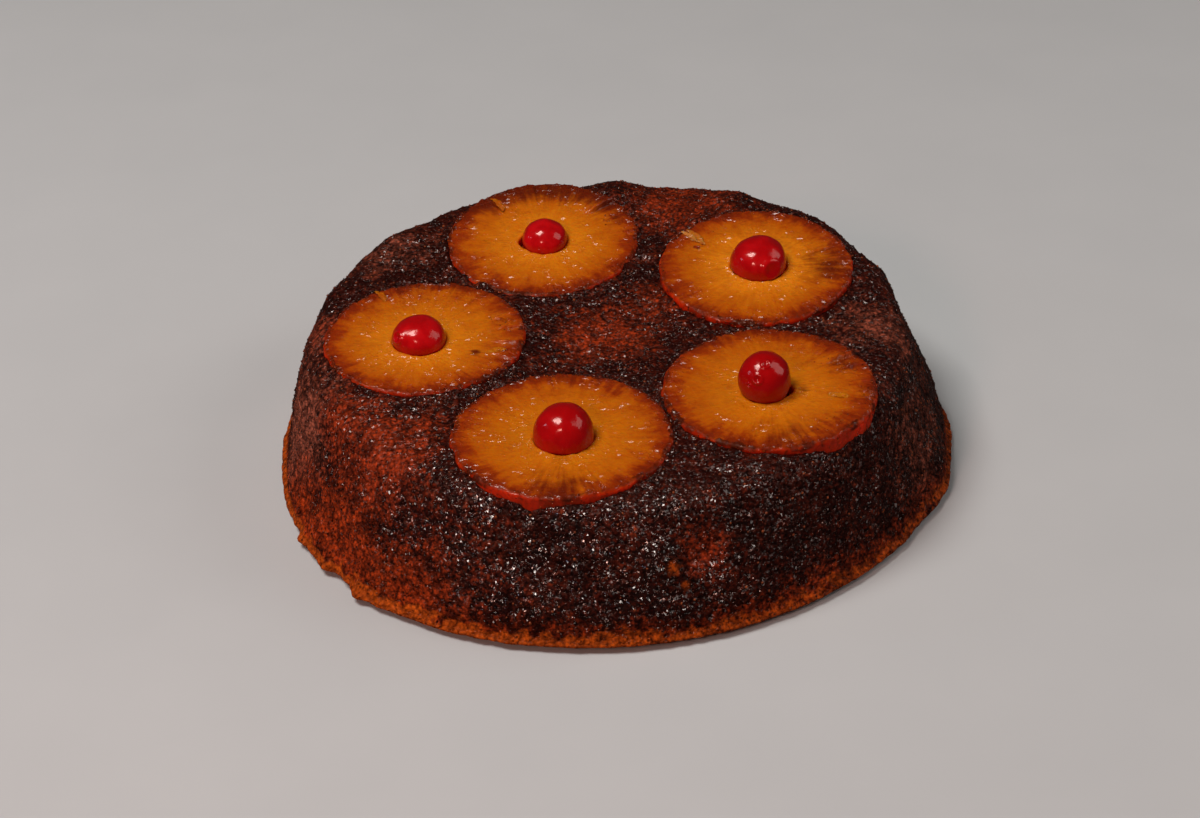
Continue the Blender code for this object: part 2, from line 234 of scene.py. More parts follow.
class Graph:
    """Adds and joins the nodes of one tree in short calls."""

    def __init__(self, tree: bpy.types.NodeTree) -> None:
        """Starts on a tree, which keeps the nodes that it has."""
        self.tree = tree

    def feed(self, socket: Socket, value: object) -> None:
        """Sets an input, or joins an output to it.

        Args:
            socket: the input.
            value: a number, a colour or an output.
        """
        if isinstance(value, bpy.types.NodeSocket):
            self.tree.links.new(value, socket)
        else:
            socket.default_value = value

    def node(self, kind: str, inputs: dict | None = None, **settings: object) -> bpy.types.Node:
        """Adds a node.

        Args:
            kind: the node's type.
            inputs: values or outputs for its inputs, by name or number.
            settings: the node's own properties.

        Returns:
            The node.
        """
        made = self.tree.nodes.new(kind)
        for name, value in settings.items():
            setattr(made, name, value)
        for key, value in (inputs or {}).items():
            self.feed(made.inputs[key], value)
        return made

    def math(self, operation: str, *values: object) -> Socket:
        """Joins numbers by one operation."""
        made = self.node("ShaderNodeMath", dict(enumerate(values)), operation=operation)
        return made.outputs[0]

    def total(self, *values: object) -> Socket:
        """Adds numbers up.

        Args:
            *values: numbers or outputs.

        Returns:
            Their sum.
        """
        result = values[0]
        for value in values[1:]:
            result = self.math("ADD", result, value)
        return result

    def product(self, *values: object) -> Socket:
        """Multiplies numbers.

        Args:
            *values: numbers or outputs.

        Returns:
            Their product.
        """
        result = values[0]
        for value in values[1:]:
            result = self.math("MULTIPLY", result, value)
        return result

    def ease(self, value: object, low: float, high: float) -> Socket:
        """Rises smoothly from 0 at low to 1 at high, or falls where low is the larger.

        Args:
            value: what rises.
            low: where it is 0.
            high: where it is 1.

        Returns:
            The eased value.
        """
        inputs = {"Value": value, "From Min": low, "From Max": high}
        if low > high:
            inputs = {"Value": value, "From Min": high, "From Max": low, "To Min": 1.0, "To Max": 0.0}
        return self.node("ShaderNodeMapRange", inputs, interpolation_type="SMOOTHSTEP").outputs[0]

    def between(self, value: object, low: float, high: float) -> Socket:
        """Stretches 0 to 1 over low to high."""
        inputs = {"Value": value, "To Min": low, "To Max": high}
        return self.node("ShaderNodeMapRange", inputs).outputs[0]

    def mix(self, share: object, first: object, second: object) -> Socket:
        """Mixes two colours, the share being of the second."""
        inputs = {0: share, 6: self.opaque(first), 7: self.opaque(second)}
        return self.node("ShaderNodeMix", inputs, data_type="RGBA").outputs[2]

    @staticmethod
    def opaque(colour: object) -> object:
        """Gives a plain colour its alpha."""
        return (*colour, 1.0) if isinstance(colour, tuple) else colour

    def rate(self, size: object) -> object:
        """Turns a size into the scale that gives it."""
        return self.math("DIVIDE", 1.0, size) if isinstance(size, Socket) else 1.0 / size

    def noise(self, size: object, place: Socket, detail: float = 3.0) -> Socket:
        """Fractal noise from 0 to 1 with features of this size."""
        inputs = {"Vector": place, "Scale": self.rate(size), "Detail": detail}
        return self.node("ShaderNodeTexNoise", inputs).outputs[0]

    def cells(self, size: object, place: Socket, feature: str = "F1") -> Socket:
        """Distance to the nearest cell's middle, in cell sizes."""
        inputs = {"Vector": place, "Scale": self.rate(size)}
        return self.node("ShaderNodeTexVoronoi", inputs, feature=feature).outputs["Distance"]

    def cell_swing(self, place: Socket) -> Socket:
        """A vector of each cell's own, every number of it from -0.5 to 0.5."""
        cell = self.node("ShaderNodeTexVoronoi", {"Vector": place, "Scale": 1.0}).outputs["Color"]
        return self.vector("SUBTRACT", cell, CELL_MIDDLE)

    def combine(self, *values: object) -> Socket:
        """Makes a vector of three numbers."""
        return self.node("ShaderNodeCombineXYZ", dict(enumerate(values))).outputs[0]

    def vector(self, operation: str, *values: object) -> Socket:
        """Joins vectors by one operation.

        Args:
            operation: the name of the operation.
            *values: vectors or outputs.

        Returns:
            The result.
        """
        made = self.node("ShaderNodeVectorMath", operation=operation)
        for index, value in enumerate(values):
            self.feed(made.inputs["Scale" if operation == "SCALE" and index else index], value)
        return made.outputs[0]

    def warped(self, place: Socket, size: float, reach: float) -> Socket:
        """Shifts places by noise, so that cells lose their regular look.

        Args:
            place: the places.
            size: the size of the noise.
            reach: how far it shifts them.

        Returns:
            The shifted places.
        """
        scale = {"Vector": place, "Scale": 1.0 / size, "Detail": 2.0}
        wobble = self.node("ShaderNodeTexNoise", scale).outputs["Color"]
        centred = self.vector("SUBTRACT", wobble, CELL_MIDDLE)
        return self.vector("ADD", place, self.vector("SCALE", centred, 2.0 * reach))

    def bump(self, height: Socket, depth: float, under: Socket | None = None) -> Socket:
        """Turns a height of 0 to 1 into a normal, on top of another if one is given.

        Args:
            height: from 0 to 1.
            depth: how deep that is.
            under: the normal below it, if any.

        Returns:
            The normal.
        """
        inputs = {"Height": height, "Distance": depth, "Strength": 1.0}
        if under:
            inputs["Normal"] = under
        return self.node("ShaderNodeBump", inputs).outputs[0]

    def facets(self, place: Socket, tilt: object, under: Socket) -> Socket:
        """Tilts each cell of a surface its own way, so that a few of them catch the light.

        Args:
            place: where the surface is, in cell sizes.
            tilt: the most that the normals swing, as a share of their length.
            under: the normal that is tilted.

        Returns:
            The new normal.
        """
        swing = self.vector("MULTIPLY", self.cell_swing(place), tilt)
        return self.vector("NORMALIZE", self.vector("ADD", under, swing))

    def tilted(self, place: Socket, low: float, high: float) -> Socket:
        """Says how far facets tilts a cell: 0 for those left level, 1 for the most tilted.

        Args:
            place: where the surface is, in cell sizes, as given to facets.
            low: the swing, out of 0.87 at the most, that still counts as level.
            high: the swing that counts as the most.

        Returns:
            The share.
        """
        swing = {0: self.cell_swing(place)}
        length = self.node("ShaderNodeVectorMath", swing, operation="LENGTH").outputs["Value"]
        return self.ease(length, low, high)


class Paint(Graph):
    """A material in the making: its nodes and its shader."""

    def __init__(self, name: str) -> None:
        """Starts a material of this name with its shader alone.

        Args:
            name: the material's name.
        """
        self.material = bpy.data.materials.new(name)
        self.material.use_nodes = True
        super().__init__(self.material.node_tree)
        self.shader = self.tree.nodes["Principled BSDF"]
        self.place = self.node("ShaderNodeTexCoord").outputs["Object"]

    def layer(self, layer: Enum, entry: str = "Fac") -> Socket:
        """Reads a number, or with the entry Vector a vector, that the mesh keeps."""
        return self.node("ShaderNodeAttribute", attribute_name=layer.value).outputs[entry]

    def set(self, **values: object) -> bpy.types.Material:
        """Sets the shader's sockets, with their names written as Base_Color, and gives the material.

        Args:
            **values: what each socket takes.

        Returns:
            The material.
        """
        for name, value in values.items():
            tinted = name.endswith(("Color", "Tint"))
            self.feed(self.shader.inputs[name.replace("_", " ")], self.opaque(value) if tinted else value)
        return self.material


class Recipe:
    """A Geometry Nodes tree from one mesh to another, with named inputs."""

    def __init__(self, name: str, inputs: dict[str, float | int]) -> None:
        """Starts the tree.

        Args:
            name: the tree's name.
            inputs: its sizes and seeds by name, with what each is when not given.
        """
        self.tree = bpy.data.node_groups.new(name, "GeometryNodeTree")
        sockets = self.tree.interface
        sockets.new_socket("Geometry", in_out="INPUT", socket_type="NodeSocketGeometry")
        for label, value in inputs.items():
            kind = "NodeSocketInt" if isinstance(value, int) else "NodeSocketFloat"
            sockets.new_socket(label, in_out="INPUT", socket_type=kind).default_value = value
        sockets.new_socket("Material", in_out="INPUT", socket_type="NodeSocketMaterial")
        sockets.new_socket("Geometry", in_out="OUTPUT", socket_type="NodeSocketGeometry")
        self.graph = Graph(self.tree)
        self.given = self.graph.node("NodeGroupInput").outputs

    def layer(self, layer: Enum, kind: str = "FLOAT") -> Socket:
        """Reads an attribute of the mesh."""
        inputs = {"Name": layer.value}
        return self.graph.node("GeometryNodeInputNamedAttribute", inputs, data_type=kind).outputs[0]

    def close(self, geometry: Socket) -> None:
        """Ends the tree: instances become a mesh, which takes the material.

        Args:
            geometry: what the tree made.
        """
        graph = self.graph
        real = graph.node("GeometryNodeRealizeInstances", {"Geometry": geometry}).outputs[0]
        smooth = graph.node("GeometryNodeSetShadeSmooth", {"Geometry": real}).outputs[0]
        finish = {"Geometry": smooth, "Material": self.given["Material"]}
        graph.node("NodeGroupOutput", {0: graph.node("GeometryNodeSetMaterial", finish).outputs[0]})

    def close_moved(self, geometry: Socket, height: Socket) -> None:
        """Ends the tree with its points moved along their normals, by less where Layer.ROUGH is less.

        Args:
            geometry: what the tree made.
            height: how far each point moves.
        """
        graph = self.graph
        height = graph.product(height, self.layer(Layer.ROUGH))
        offset = graph.vector("SCALE", graph.node("GeometryNodeInputNormal").outputs[0], height)
        moved = {"Geometry": geometry, "Offset": offset}
        self.close(graph.node("GeometryNodeSetPosition", moved).outputs[0])

    def grow(self, name: str, source: bpy.types.Mesh, values: dict[str, object]) -> bpy.types.Object:
        """Runs the tree on a mesh and keeps the result as a plain mesh.

        Args:
            name: the new object's name.
            source: the mesh that the tree starts from.
            values: the inputs that differ from what the tree gives them, by name.

        Returns:
            The new object, without a modifier.
        """
        obj = link_object(name, source)
        modifier = obj.modifiers.new(self.tree.name, "NODES")
        modifier.node_group = self.tree
        for item in self.tree.interface.items_tree:
            if item.in_out == "INPUT" and item.name in values:
                modifier[item.identifier] = values[item.name]
        depsgraph = bpy.context.evaluated_depsgraph_get()
        evaluated = obj.evaluated_get(depsgraph)
        mesh = bpy.data.meshes.new_from_object(
            evaluated, preserve_all_data_layers=True, depsgraph=depsgraph
        )
        obj.modifiers.remove(modifier)
        obj.data = mesh
        mesh.name = name
        return obj


# Finishes.


@dataclass(frozen=True)
class CrustFinish:
    """Burnt sugar over sponge: near black and glossy, with redder, paler and matte places, and painted
    shade in its hollows and vertical creases.

    A span gives where an ease starts and ends, or a value on bare crust and on the rim's crumb.
    """

    name: str = "crust"
    char: Colour = (0.021, 0.0013, 0.0005)
    caramel: Colour = (0.064, 0.0072, 0.0026)
    painted_shade: Colour = (0.010, 0.0008, 0.0004)
    ember: Colour = (0.290, 0.0310, 0.0060)
    sponge: Colour = (0.305, 0.0310, 0.0030)
    ash: Colour = (0.290, 0.0760, 0.0440)
    rim: Colour = (0.400, 0.0640, 0.0034)
    blotch_size: float = 10 * MM
    blotch_share: float = 0.45
    mottle_size: float = 2.2 * MM
    caramel_span: Span = (0.42, 0.62)
    tone_swing: float = 1.6
    tone_span: Span = (0.15, 0.85)
    ember_matte: float = 0.4
    warp_size: float = 1.8 * MM
    warp_reach: float = 0.5 * MM
    sugar_size: float = 2.3 * MM
    sugar_depth: float = 0.9 * MM
    valley_span: Span = (0.35, 0.75)
    valley_shade: float = 0.7
    pore_size: float = 2.1 * MM
    pore_span: Span = (0.34, 0.10)
    hollow_shade_span: Span = (0.85, 0.60)
    pore_depth: float = 0.4
    upright_stretch: Triple = (1.0, 1.0, 0.40)
    crease_shade_size: float = 5.5 * MM
    crease_shade_span: Span = (0.50, 0.66)
    crease_shade_strength: Span = (0.60, 0.15)
    grain_size: float = 1.1 * MM
    grain_depth: float = 0.08 * MM
    grain_swing: Span = (3.6, 2.4)
    grain_darkest: float = 0.25
    flake_size: float = 1.15 * MM
    flake_tilt: float = 1.5
    crystal_size: float = 0.8 * MM
    crystal_tilt: float = 0.5
    dry_size: float = 6 * MM
    dry_span: Span = (0.56, 0.42)
    dry_most: float = 0.75
    roughness: float = 0.30
    rougher: float = 0.2
    shine: Span = (1.0, 0.12)

    def baked(self, paint: Paint) -> tuple[Socket, Socket, Socket]:
        """Lays the baked tones over burnt sugar.

        Args:
            paint: the material in the making.

        Returns:
            The colour, how matte it is, and how far it is the rim's crumb.
        """
        blotch = paint.product(paint.noise(self.blotch_size, paint.place, 3.0), self.blotch_share)
        mottle = paint.product(paint.noise(self.mottle_size, paint.place, 4.0), 1.0 - self.blotch_share)
        shade = paint.total(blotch, mottle)
        colour = paint.mix(paint.ease(shade, *self.caramel_span), self.char, self.caramel)
        uneven = paint.product(paint.total(shade, -0.5), self.tone_swing)
        matte: Socket | float = 0.0
        tints = {Tone.ASH: self.ash, Tone.SPONGE: self.sponge, Tone.EMBER: self.ember, Tone.RIM: self.rim}
        for tone, tint in tints.items():
            amount = paint.ease(paint.total(paint.layer(tone), uneven), *self.tone_span)
            colour = paint.mix(amount, colour, tint)
            share = self.ember_matte if tone is Tone.EMBER else 1.0
            matte = paint.math("MAXIMUM", matte, paint.product(amount, share))
        return colour, matte, amount

    def make(self) -> bpy.types.Material:
        """Builds the material.

        Returns:
            The material.
        """
        paint = Paint(self.name)
        colour, matte, crumb = self.baked(paint)
        loose = paint.warped(paint.place, self.warp_size, self.warp_reach)
        sugar = paint.cells(self.sugar_size, loose)
        pores = paint.ease(paint.cells(self.pore_size, loose), *self.pore_span)
        grains = paint.noise(self.grain_size, paint.place, 2.0)
        # Painted shade: near black painted into the valleys between the sugar lumps, the pores and the sunk
        # pits, less on the rim's crumb.
        deep = paint.product(paint.ease(sugar, *self.valley_span), self.valley_shade)
        for hollow in (pores, paint.layer(Layer.PIT)):
            deep = paint.math("MAXIMUM", deep, hollow)
        colour = paint.mix(paint.product(deep, paint.between(crumb, *self.hollow_shade_span)), colour, self.painted_shade)
        # Painted shade of vertical creases: upright streaks of noise, darkened towards the same near black,
        # faint on the rim's crumb.
        upright_place = paint.vector("MULTIPLY", paint.place, self.upright_stretch)
        crease_shade = paint.ease(paint.noise(self.crease_shade_size, upright_place, 2.0), *self.crease_shade_span)
        colour = paint.mix(paint.product(crease_shade, paint.between(crumb, *self.crease_shade_strength)), colour, self.painted_shade)
        swing = paint.product(paint.total(grains, -0.5), paint.between(crumb, *self.grain_swing))
        speckle = paint.math("MAXIMUM", paint.total(1.0, swing), self.grain_darkest)
        both = {0: 1.0, 6: colour, 7: speckle}
        colour = paint.node("ShaderNodeMix", both, data_type="RGBA", blend_type="MULTIPLY").outputs[2]
        dome = paint.math("SUBTRACT", 1.0, paint.math("POWER", sugar, 2.0))
        lumpy = paint.bump(paint.total(dome, paint.product(pores, -self.pore_depth)), self.sugar_depth)
        lumpy = paint.bump(grains, self.grain_depth, lumpy)
        flakes = paint.vector("SCALE", loose, 1.0 / self.flake_size)
        crystals = paint.vector("SCALE", loose, 1.0 / self.crystal_size)
        dry = paint.ease(paint.noise(self.dry_size, upright_place, 2.0), *self.dry_span)
        dry = paint.product(dry, self.dry_most)
        dull = paint.total(dry, matte)
        shine = paint.product(paint.between(dull, *self.shine), paint.layer(Layer.WET))
        return paint.set(
            Base_Color=colour, Roughness=paint.total(self.roughness, paint.product(dull, self.rougher)),
            Normal=paint.facets(crystals, (self.crystal_tilt,) * 3, lumpy),
            Specular_IOR_Level=0.14, Specular_Tint=(1.0, 0.62, 0.50),
            Coat_Weight=shine, Coat_Roughness=0.11, Coat_IOR=1.80,
            Coat_Normal=paint.facets(flakes, (self.flake_tilt,) * 3, lumpy),
        )


@dataclass(frozen=True)
class GrainFinish:
    """Crumbs of one tint, lighter and darker by turns."""

    name: str
    dark: Colour
    light: Colour
    roughness: Span
    mottle_size: float = 3.0 * MM
    mottle_span: Span = (0.35, 0.65)
    fine_size: float = 0.5 * MM
    fine_depth: float = 0.2 * MM

    def make(self) -> bpy.types.Material:
        """Builds the material.

        Returns:
            The material.
        """
        paint = Paint(self.name)
        mottle = paint.ease(paint.noise(self.mottle_size, paint.place, 3.0), *self.mottle_span)
        fine = paint.noise(self.fine_size, paint.place, 2.0)
        return paint.set(
            Base_Color=paint.mix(mottle, self.dark, self.light),
            Roughness=paint.between(fine, *self.roughness),
            Normal=paint.bump(fine, self.fine_depth), Specular_IOR_Level=0.22,
        )


@dataclass(frozen=True)
class FleshFinish:
    """Baked pineapple: translucent gold with radial fibres, browned streaks and a red-brown edge.

    A span gives where an ease starts and ends, or a value on the upper face and on the cut side.
    """

    heart: Colour = (0.60, 0.178, 0.0034)
    gold: Colour = (0.51, 0.126, 0.0022)
    amber: Colour = (0.36, 0.050, 0.0012)
    brown: Colour = (0.125, 0.0120, 0.0015)
    side: Colour = (0.800, 0.0250, 0.0018)
    pale: Colour = (0.800, 0.2650, 0.0080)
    film: Colour = (0.820, 0.3600, 0.1200)
    rust: Colour = (0.215, 0.0165, 0.0014)
    scorch: Colour = (0.070, 0.0075, 0.0014)
    long_stretch: Triple = (16.0, 16.0, 1.8)
    fine_stretch: Triple = (45.0, 45.0, 5.0)
    cloud_size: float = 7.0 * MM
    cloud_swing: float = 0.7
    mottle_size: float = 1.6 * MM
    mottle_swing: float = 0.25
    ray_swing: float = 0.38
    gold_span: Span = (0.10, 0.75)
    amber_span: Span = (0.60, 1.12)
    film_span: Span = (1.0, 2.0)
    rust_span: Span = (0.84, 1.20)
    rust_most: float = 0.85
    thread_span: Span = (0.50, 0.75)
    thread_dark: float = 0.12
    side_span: Span = (0.48, 0.82)
    streak_swing: Span = (0.85, 0.2)
    brown_start: float = -0.12
    brown_span: Span = (0.15, 1.05)
    warp_size: float = 2.0 * MM
    warp_reach: float = 0.4 * MM
    speck_size: float = 1.5 * MM
    speck_swing: float = -0.28
    crumb_swing: float = 0.8
    scorch_span: Span = (0.20, 0.75)
    ridge_size: float = 1.9 * MM
    ridge_span: Span = (0.50, 0.68)
    ridge_height: float = 0.25 * MM
    wrinkle_height: float = 0.12 * MM
    thread_height: float = 0.05 * MM
    stroke: float = 1.7 * MM
    stroke_narrow: float = 2.2
    stroke_tilt: Triple = (0.9, 1.8, 0.9)
    drift_size: float = 4.5 * MM
    drift_span: Span = (0.46, 0.58)
    wet_span: Span = (0.0, 0.50)
    crumb_span: Span = (0.15, 0.50)
    tilt_span: Span = (0.25, 1.0)
    level_span: Span = (0.38, 0.60)
    shine: Span = (0.10, 0.80)
    side_shine: Span = (1.0, 0.4)
    roughness: Span = (0.30, 0.50)

    def make(self) -> bpy.types.Material:
        """Builds the material.

        Returns:
            The material.
        """
        paint = Paint("pineapple")
        fibre = paint.layer(Layer.FIBRE, "Vector")
        side, wet, pale = (paint.layer(layer) for layer in (Layer.SIDE, Layer.WET, Layer.PALE))
        long_fibre = paint.noise(1.0, paint.vector("MULTIPLY", fibre, self.long_stretch), 3.0)
        fine_fibre = paint.noise(1.0, paint.vector("MULTIPLY", fibre, self.fine_stretch), 2.0)
        cloud = paint.noise(self.cloud_size, paint.place, 4.0)
        mottle = paint.noise(self.mottle_size, paint.place, 3.0)
        broken = paint.total(
            paint.product(paint.total(cloud, -0.5), self.cloud_swing),
            paint.product(mottle, self.mottle_swing),
        )
        ray = paint.total(long_fibre, -0.5)
        reach = paint.total(paint.layer(Layer.SHARE), broken, paint.product(ray, self.ray_swing))
        # Painted light: rings whose pale is set get a paler heart, most on the farther rings; the flakes
        # use the same attribute for their pale film.
        heart = paint.mix(pale, self.heart, self.pale)
        colour = paint.mix(paint.ease(reach, *self.gold_span), heart, self.gold)
        colour = paint.mix(paint.ease(reach, *self.amber_span), colour, self.amber)
        colour = paint.mix(paint.ease(pale, *self.film_span), colour, self.film)
        rust = paint.product(paint.ease(reach, *self.rust_span), self.rust_most)
        colour = paint.mix(rust, colour, self.rust)
        threads = paint.product(paint.ease(fine_fibre, *self.thread_span), self.thread_dark)
        colour = paint.mix(threads, colour, self.amber)
        red = paint.mix(paint.ease(mottle, *self.side_span), self.side, self.brown)
        colour = paint.mix(side, colour, red)
        streak = paint.product(ray, paint.between(side, *self.streak_swing))
        uneven = paint.total(paint.layer(Layer.BROWNED), streak, broken, self.brown_start)
        colour = paint.mix(paint.ease(uneven, *self.brown_span), colour, self.brown)
        loose = paint.warped(paint.place, self.warp_size, self.warp_reach)
        speck = paint.product(paint.cells(self.speck_size, loose), self.speck_swing)
        crumbs = paint.total(
            paint.layer(Layer.SPRINKLE), speck, paint.product(broken, self.crumb_swing)
        )
        colour = paint.mix(paint.ease(crumbs, *self.scorch_span), colour, self.scorch)
        ridge = paint.ease(paint.noise(self.ridge_size, paint.place, 2.0), *self.ridge_span)
        ripple = paint.bump(paint.product(ridge, wet), self.ridge_height)
        wrinkle = paint.bump(mottle, self.wrinkle_height, ripple)
        skin = paint.bump(fine_fibre, self.thread_height, wrinkle)
        narrow = self.stroke_narrow / self.stroke
        strokes = paint.vector("MULTIPLY", loose, (1.0 / self.stroke, narrow, narrow))
        drift = paint.ease(paint.noise(self.drift_size, paint.place, 1.0), *self.drift_span)
        drift = paint.product(drift, paint.ease(wet, *self.wet_span))
        drift = paint.math("MAXIMUM", drift, paint.ease(crumbs, *self.crumb_span))
        tilt = paint.vector("SCALE", self.stroke_tilt, paint.between(drift, *self.tilt_span))
        shine = paint.between(paint.tilted(strokes, *self.level_span), *self.shine)
        return paint.set(
            Base_Color=colour, Roughness=paint.between(cloud, *self.roughness), Normal=skin,
            Subsurface_Weight=0.45, Subsurface_Radius=(1.0, 0.30, 0.04), Subsurface_Scale=4.0 * MM,
            Specular_IOR_Level=0.10, Specular_Tint=(1.0, 0.82, 0.66),
            Coat_Weight=paint.product(shine, paint.between(side, *self.side_shine)),
            Coat_Roughness=0.15, Coat_IOR=1.5, Coat_Normal=paint.facets(strokes, tilt, skin),
        )


@dataclass(frozen=True)
class SyrupFinish:
    """Sugar grains on the fruit's edge: amber to dark brown, glossy."""

    amber: Colour = (0.36, 0.055, 0.004)
    rust: Colour = (0.10, 0.010, 0.002)
    cloud_size: float = 2.4 * MM
    cloud_span: Span = (0.40, 0.60)
    bump_size: float = 0.6 * MM
    bump_height: float = 0.12 * MM
    flake_tilt: float = 0.9
    roughness: Span = (0.08, 0.22)

    def make(self) -> bpy.types.Material:
        """Builds the material.

        Returns:
            The material.
        """
        paint = Paint("syrup")
        cloud = paint.noise(self.cloud_size, paint.place, 3.0)
        bumps = paint.bump(paint.noise(self.bump_size, paint.place, 2.0), self.bump_height)
        flakes = paint.vector("SCALE", paint.place, 1.0 / self.bump_size)
        return paint.set(
            Base_Color=paint.mix(paint.ease(cloud, *self.cloud_span), self.amber, self.rust),
            Roughness=paint.between(cloud, *self.roughness),
            Normal=paint.facets(flakes, (self.flake_tilt,) * 3, bumps),
            Specular_IOR_Level=0.5, Specular_Tint=(1.0, 0.80, 0.70),
        )


@dataclass(frozen=True)
class CherryFinish:
    """Candied cherry: deep clear red, wet and glossy, with paler and darker clouds and painted shade
    towards its outline.
    """

    red: Colour = (0.66, 0.0045, 0.0080)
    deep: Colour = (0.50, 0.0020, 0.0048)
    ripe: Colour = (0.34, 0.0008, 0.0016)
    edge: Colour = (0.24, 0.0006, 0.0018)
    rim_shade_most: float = 0.9
    rim_shade_blend: float = 0.45
    cloud_size: float = 5.0 * MM
    cloud_span: Span = (0.35, 0.65)
    skin_size: float = 1.1 * MM
    skin_height: float = 0.03 * MM
    roughness: Span = (0.10, 0.20)

    def make(self) -> bpy.types.Material:
        """Builds the material.

        Returns:
            The material.
        """
        paint = Paint("cherry")
        cloud = paint.noise(self.cloud_size, paint.place, 2.0)
        skin = paint.noise(self.skin_size, paint.place, 2.0)
        colour = paint.mix(paint.ease(cloud, *self.cloud_span), self.deep, self.red)
        colour = paint.mix(paint.layer(Layer.BROWNED), colour, self.ripe)
        # Painted shade: the skin is painted darker towards the cherry's outline, where it turns away from
        # the view.
        facing = paint.node("ShaderNodeLayerWeight", {"Blend": self.rim_shade_blend}).outputs["Facing"]
        colour = paint.mix(paint.product(facing, self.rim_shade_most), colour, self.edge)
        return paint.set(
            Base_Color=colour, Roughness=paint.between(skin, *self.roughness),
            Normal=paint.bump(skin, self.skin_height),
            Subsurface_Weight=0.25, Subsurface_Radius=(1.0, 0.05, 0.05), Subsurface_Scale=3.0 * MM,
            Specular_IOR_Level=0.48, Specular_Tint=(1.0, 0.86, 0.84),
        )


@dataclass(frozen=True)
class FloorFinish:
    """Plain pale floor with the faintest grain."""

    pale: Colour = (0.505, 0.555, 0.585)
    paler: Colour = (0.545, 0.595, 0.625)
    cloud_size: float = 60 * MM

    def make(self) -> bpy.types.Material:
        """Builds the material.

        Returns:
            The material.
        """
        paint = Paint("floor")
        cloud = paint.noise(self.cloud_size, paint.place, 3.0)
        return paint.set(Base_Color=paint.mix(cloud, self.pale, self.paler), Roughness=0.85)


# Fruit.


@dataclass(frozen=True)
class Blemish:
    """A browned place on a ring, by its place in the ring's own frame."""

    x: float
    y: float
    radius: float
    amount: float
    crumbs: float = 0.0

    def near(self, points: np.ndarray) -> np.ndarray:
        """How near each point is: 1 in its middle, fading outwards."""
        away = np.hypot(points[:, 0] - self.x, points[:, 1] - self.y) / self.radius
        return np.exp(-(away**2))


@dataclass(frozen=True)
class Flake:
    """A curled shred of flesh, by its place and turn in its ring's own frame."""

    x: float
    y: float
    azimuth: float
    length: float
    width: float
    lift: float
    pale: float = 0.3
    share: float = 0.55
    sections: int = 26
    steps: int = 18
    tip: float = 0.04
    bluntness: float = 0.6
    half_thickness: float = 0.22 * MM
    clearance: float = 0.05 * MM
    scallop: float = 0.15
    scallops: float = 9.0
    bow: float = 0.12
    curl: Ripple = Ripple(0.40 * MM, 2.0 * MM, 91.0)
    curl_stretch: Triple = (1.0, 2.2, 0.0)
    fray: Ripple = Ripple(0.50 * MM, 1.6 * MM, 96.0)
    fray_stretch: Triple = (1.0, 0.0, 0.0)

    def build(self, ring: "PineappleRing") -> bpy.types.Mesh:
        """Makes the shred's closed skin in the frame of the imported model.

        Args:
            ring: the ring it lies on.

        Returns:
            The mesh.
        """
        seed = self.x / MM
        along = np.linspace(0.0, 1.0, self.sections)
        turn = math.tau * np.arange(self.steps) / self.steps
        u, turn = np.meshgrid(along, turn, indexing="ij")
        taper = np.sin(math.pi * (self.tip + (1 - 2 * self.tip) * u)) ** self.bluntness
        across = 0.5 * self.width * taper * np.cos(turn)
        across *= 1.0 + self.scallop * np.sin(self.scallops * u + seed) * np.cos(turn)
        across += self.bow * self.length * np.sin(math.pi * u)
        thick = self.half_thickness * taper * np.sin(turn) + self.lift * u**3 + self.clearance
        local = np.stack((self.length * (u - 0.5), across, thick), axis=-1).reshape(-1, 3)
        local[:, 2] += self.curl.at(local * self.curl_stretch, seed)
        local[:, 1] += self.fray.at(local * self.fray_stretch, seed)
        cosine, sine = math.cos(math.radians(self.azimuth)), math.sin(math.radians(self.azimuth))
        turned = local @ np.array(((cosine, sine, 0), (-sine, cosine, 0), (0, 0, 1)))
        points = ring.to_frame(turned + np.array((self.x, self.y, 0.0)))
        loops = list(np.arange(len(points)).reshape(self.sections, self.steps))
        faces = belt_faces(loops)
        faces.append(tuple(int(v) for v in loops[0]))
        faces.append(tuple(int(v) for v in loops[-1][::-1]))
        mesh = make_mesh("flake", points, faces)
        fibre = (local[:, 1] / self.width * 3 / 16, np.zeros(len(points)), 0.3 * u.ravel())
        store(mesh, {
            Layer.FIBRE: np.column_stack(fibre) + 7.0 * seed, Layer.SHARE: self.share,
            Layer.SIDE: 0.0, Layer.PALE: self.pale, Layer.BROWNED: 0.0, Layer.WET: 1.0,
            Layer.SPRINKLE: 0.0,
        })
        return mesh


@dataclass(frozen=True)
class Fold:
    """A radial cut in a ring's face: its flesh is proud on one side and sunk on the other.

    Its azimuth, its span and the crease between the sides are in degrees; it starts at a share of
    the way from the hole to the edge, and is full a share of onset further on.
    """

    azimuth: float
    start: float
    proud: float
    sunk: float
    span: float = 16.0
    crease: float = 1.6
    onset: float = 0.3

    def lift(self, points: np.ndarray, share: np.ndarray) -> np.ndarray:
        """How far it lifts each point of the face.

        Args:
            points: the points, in the ring's own frame.
            share: how far out each point lies, from 0 at the hole to 1 at the edge.

        Returns:
            The height added to each.
        """
        azimuth = np.degrees(np.arctan2(points[:, 1], points[:, 0]))
        turn = (azimuth - self.azimuth + 180) % 360 - 180
        onward = self.proud * np.exp(-np.abs(turn) / (0.5 * self.span))
        behind = -self.sunk * np.exp(-((turn / self.span) ** 2))
        side = smoothstep(0.5 + turn / self.crease)
        full = smoothstep((share - self.start) / self.onset)
        return (onward * side + behind * (1 - side)) * full


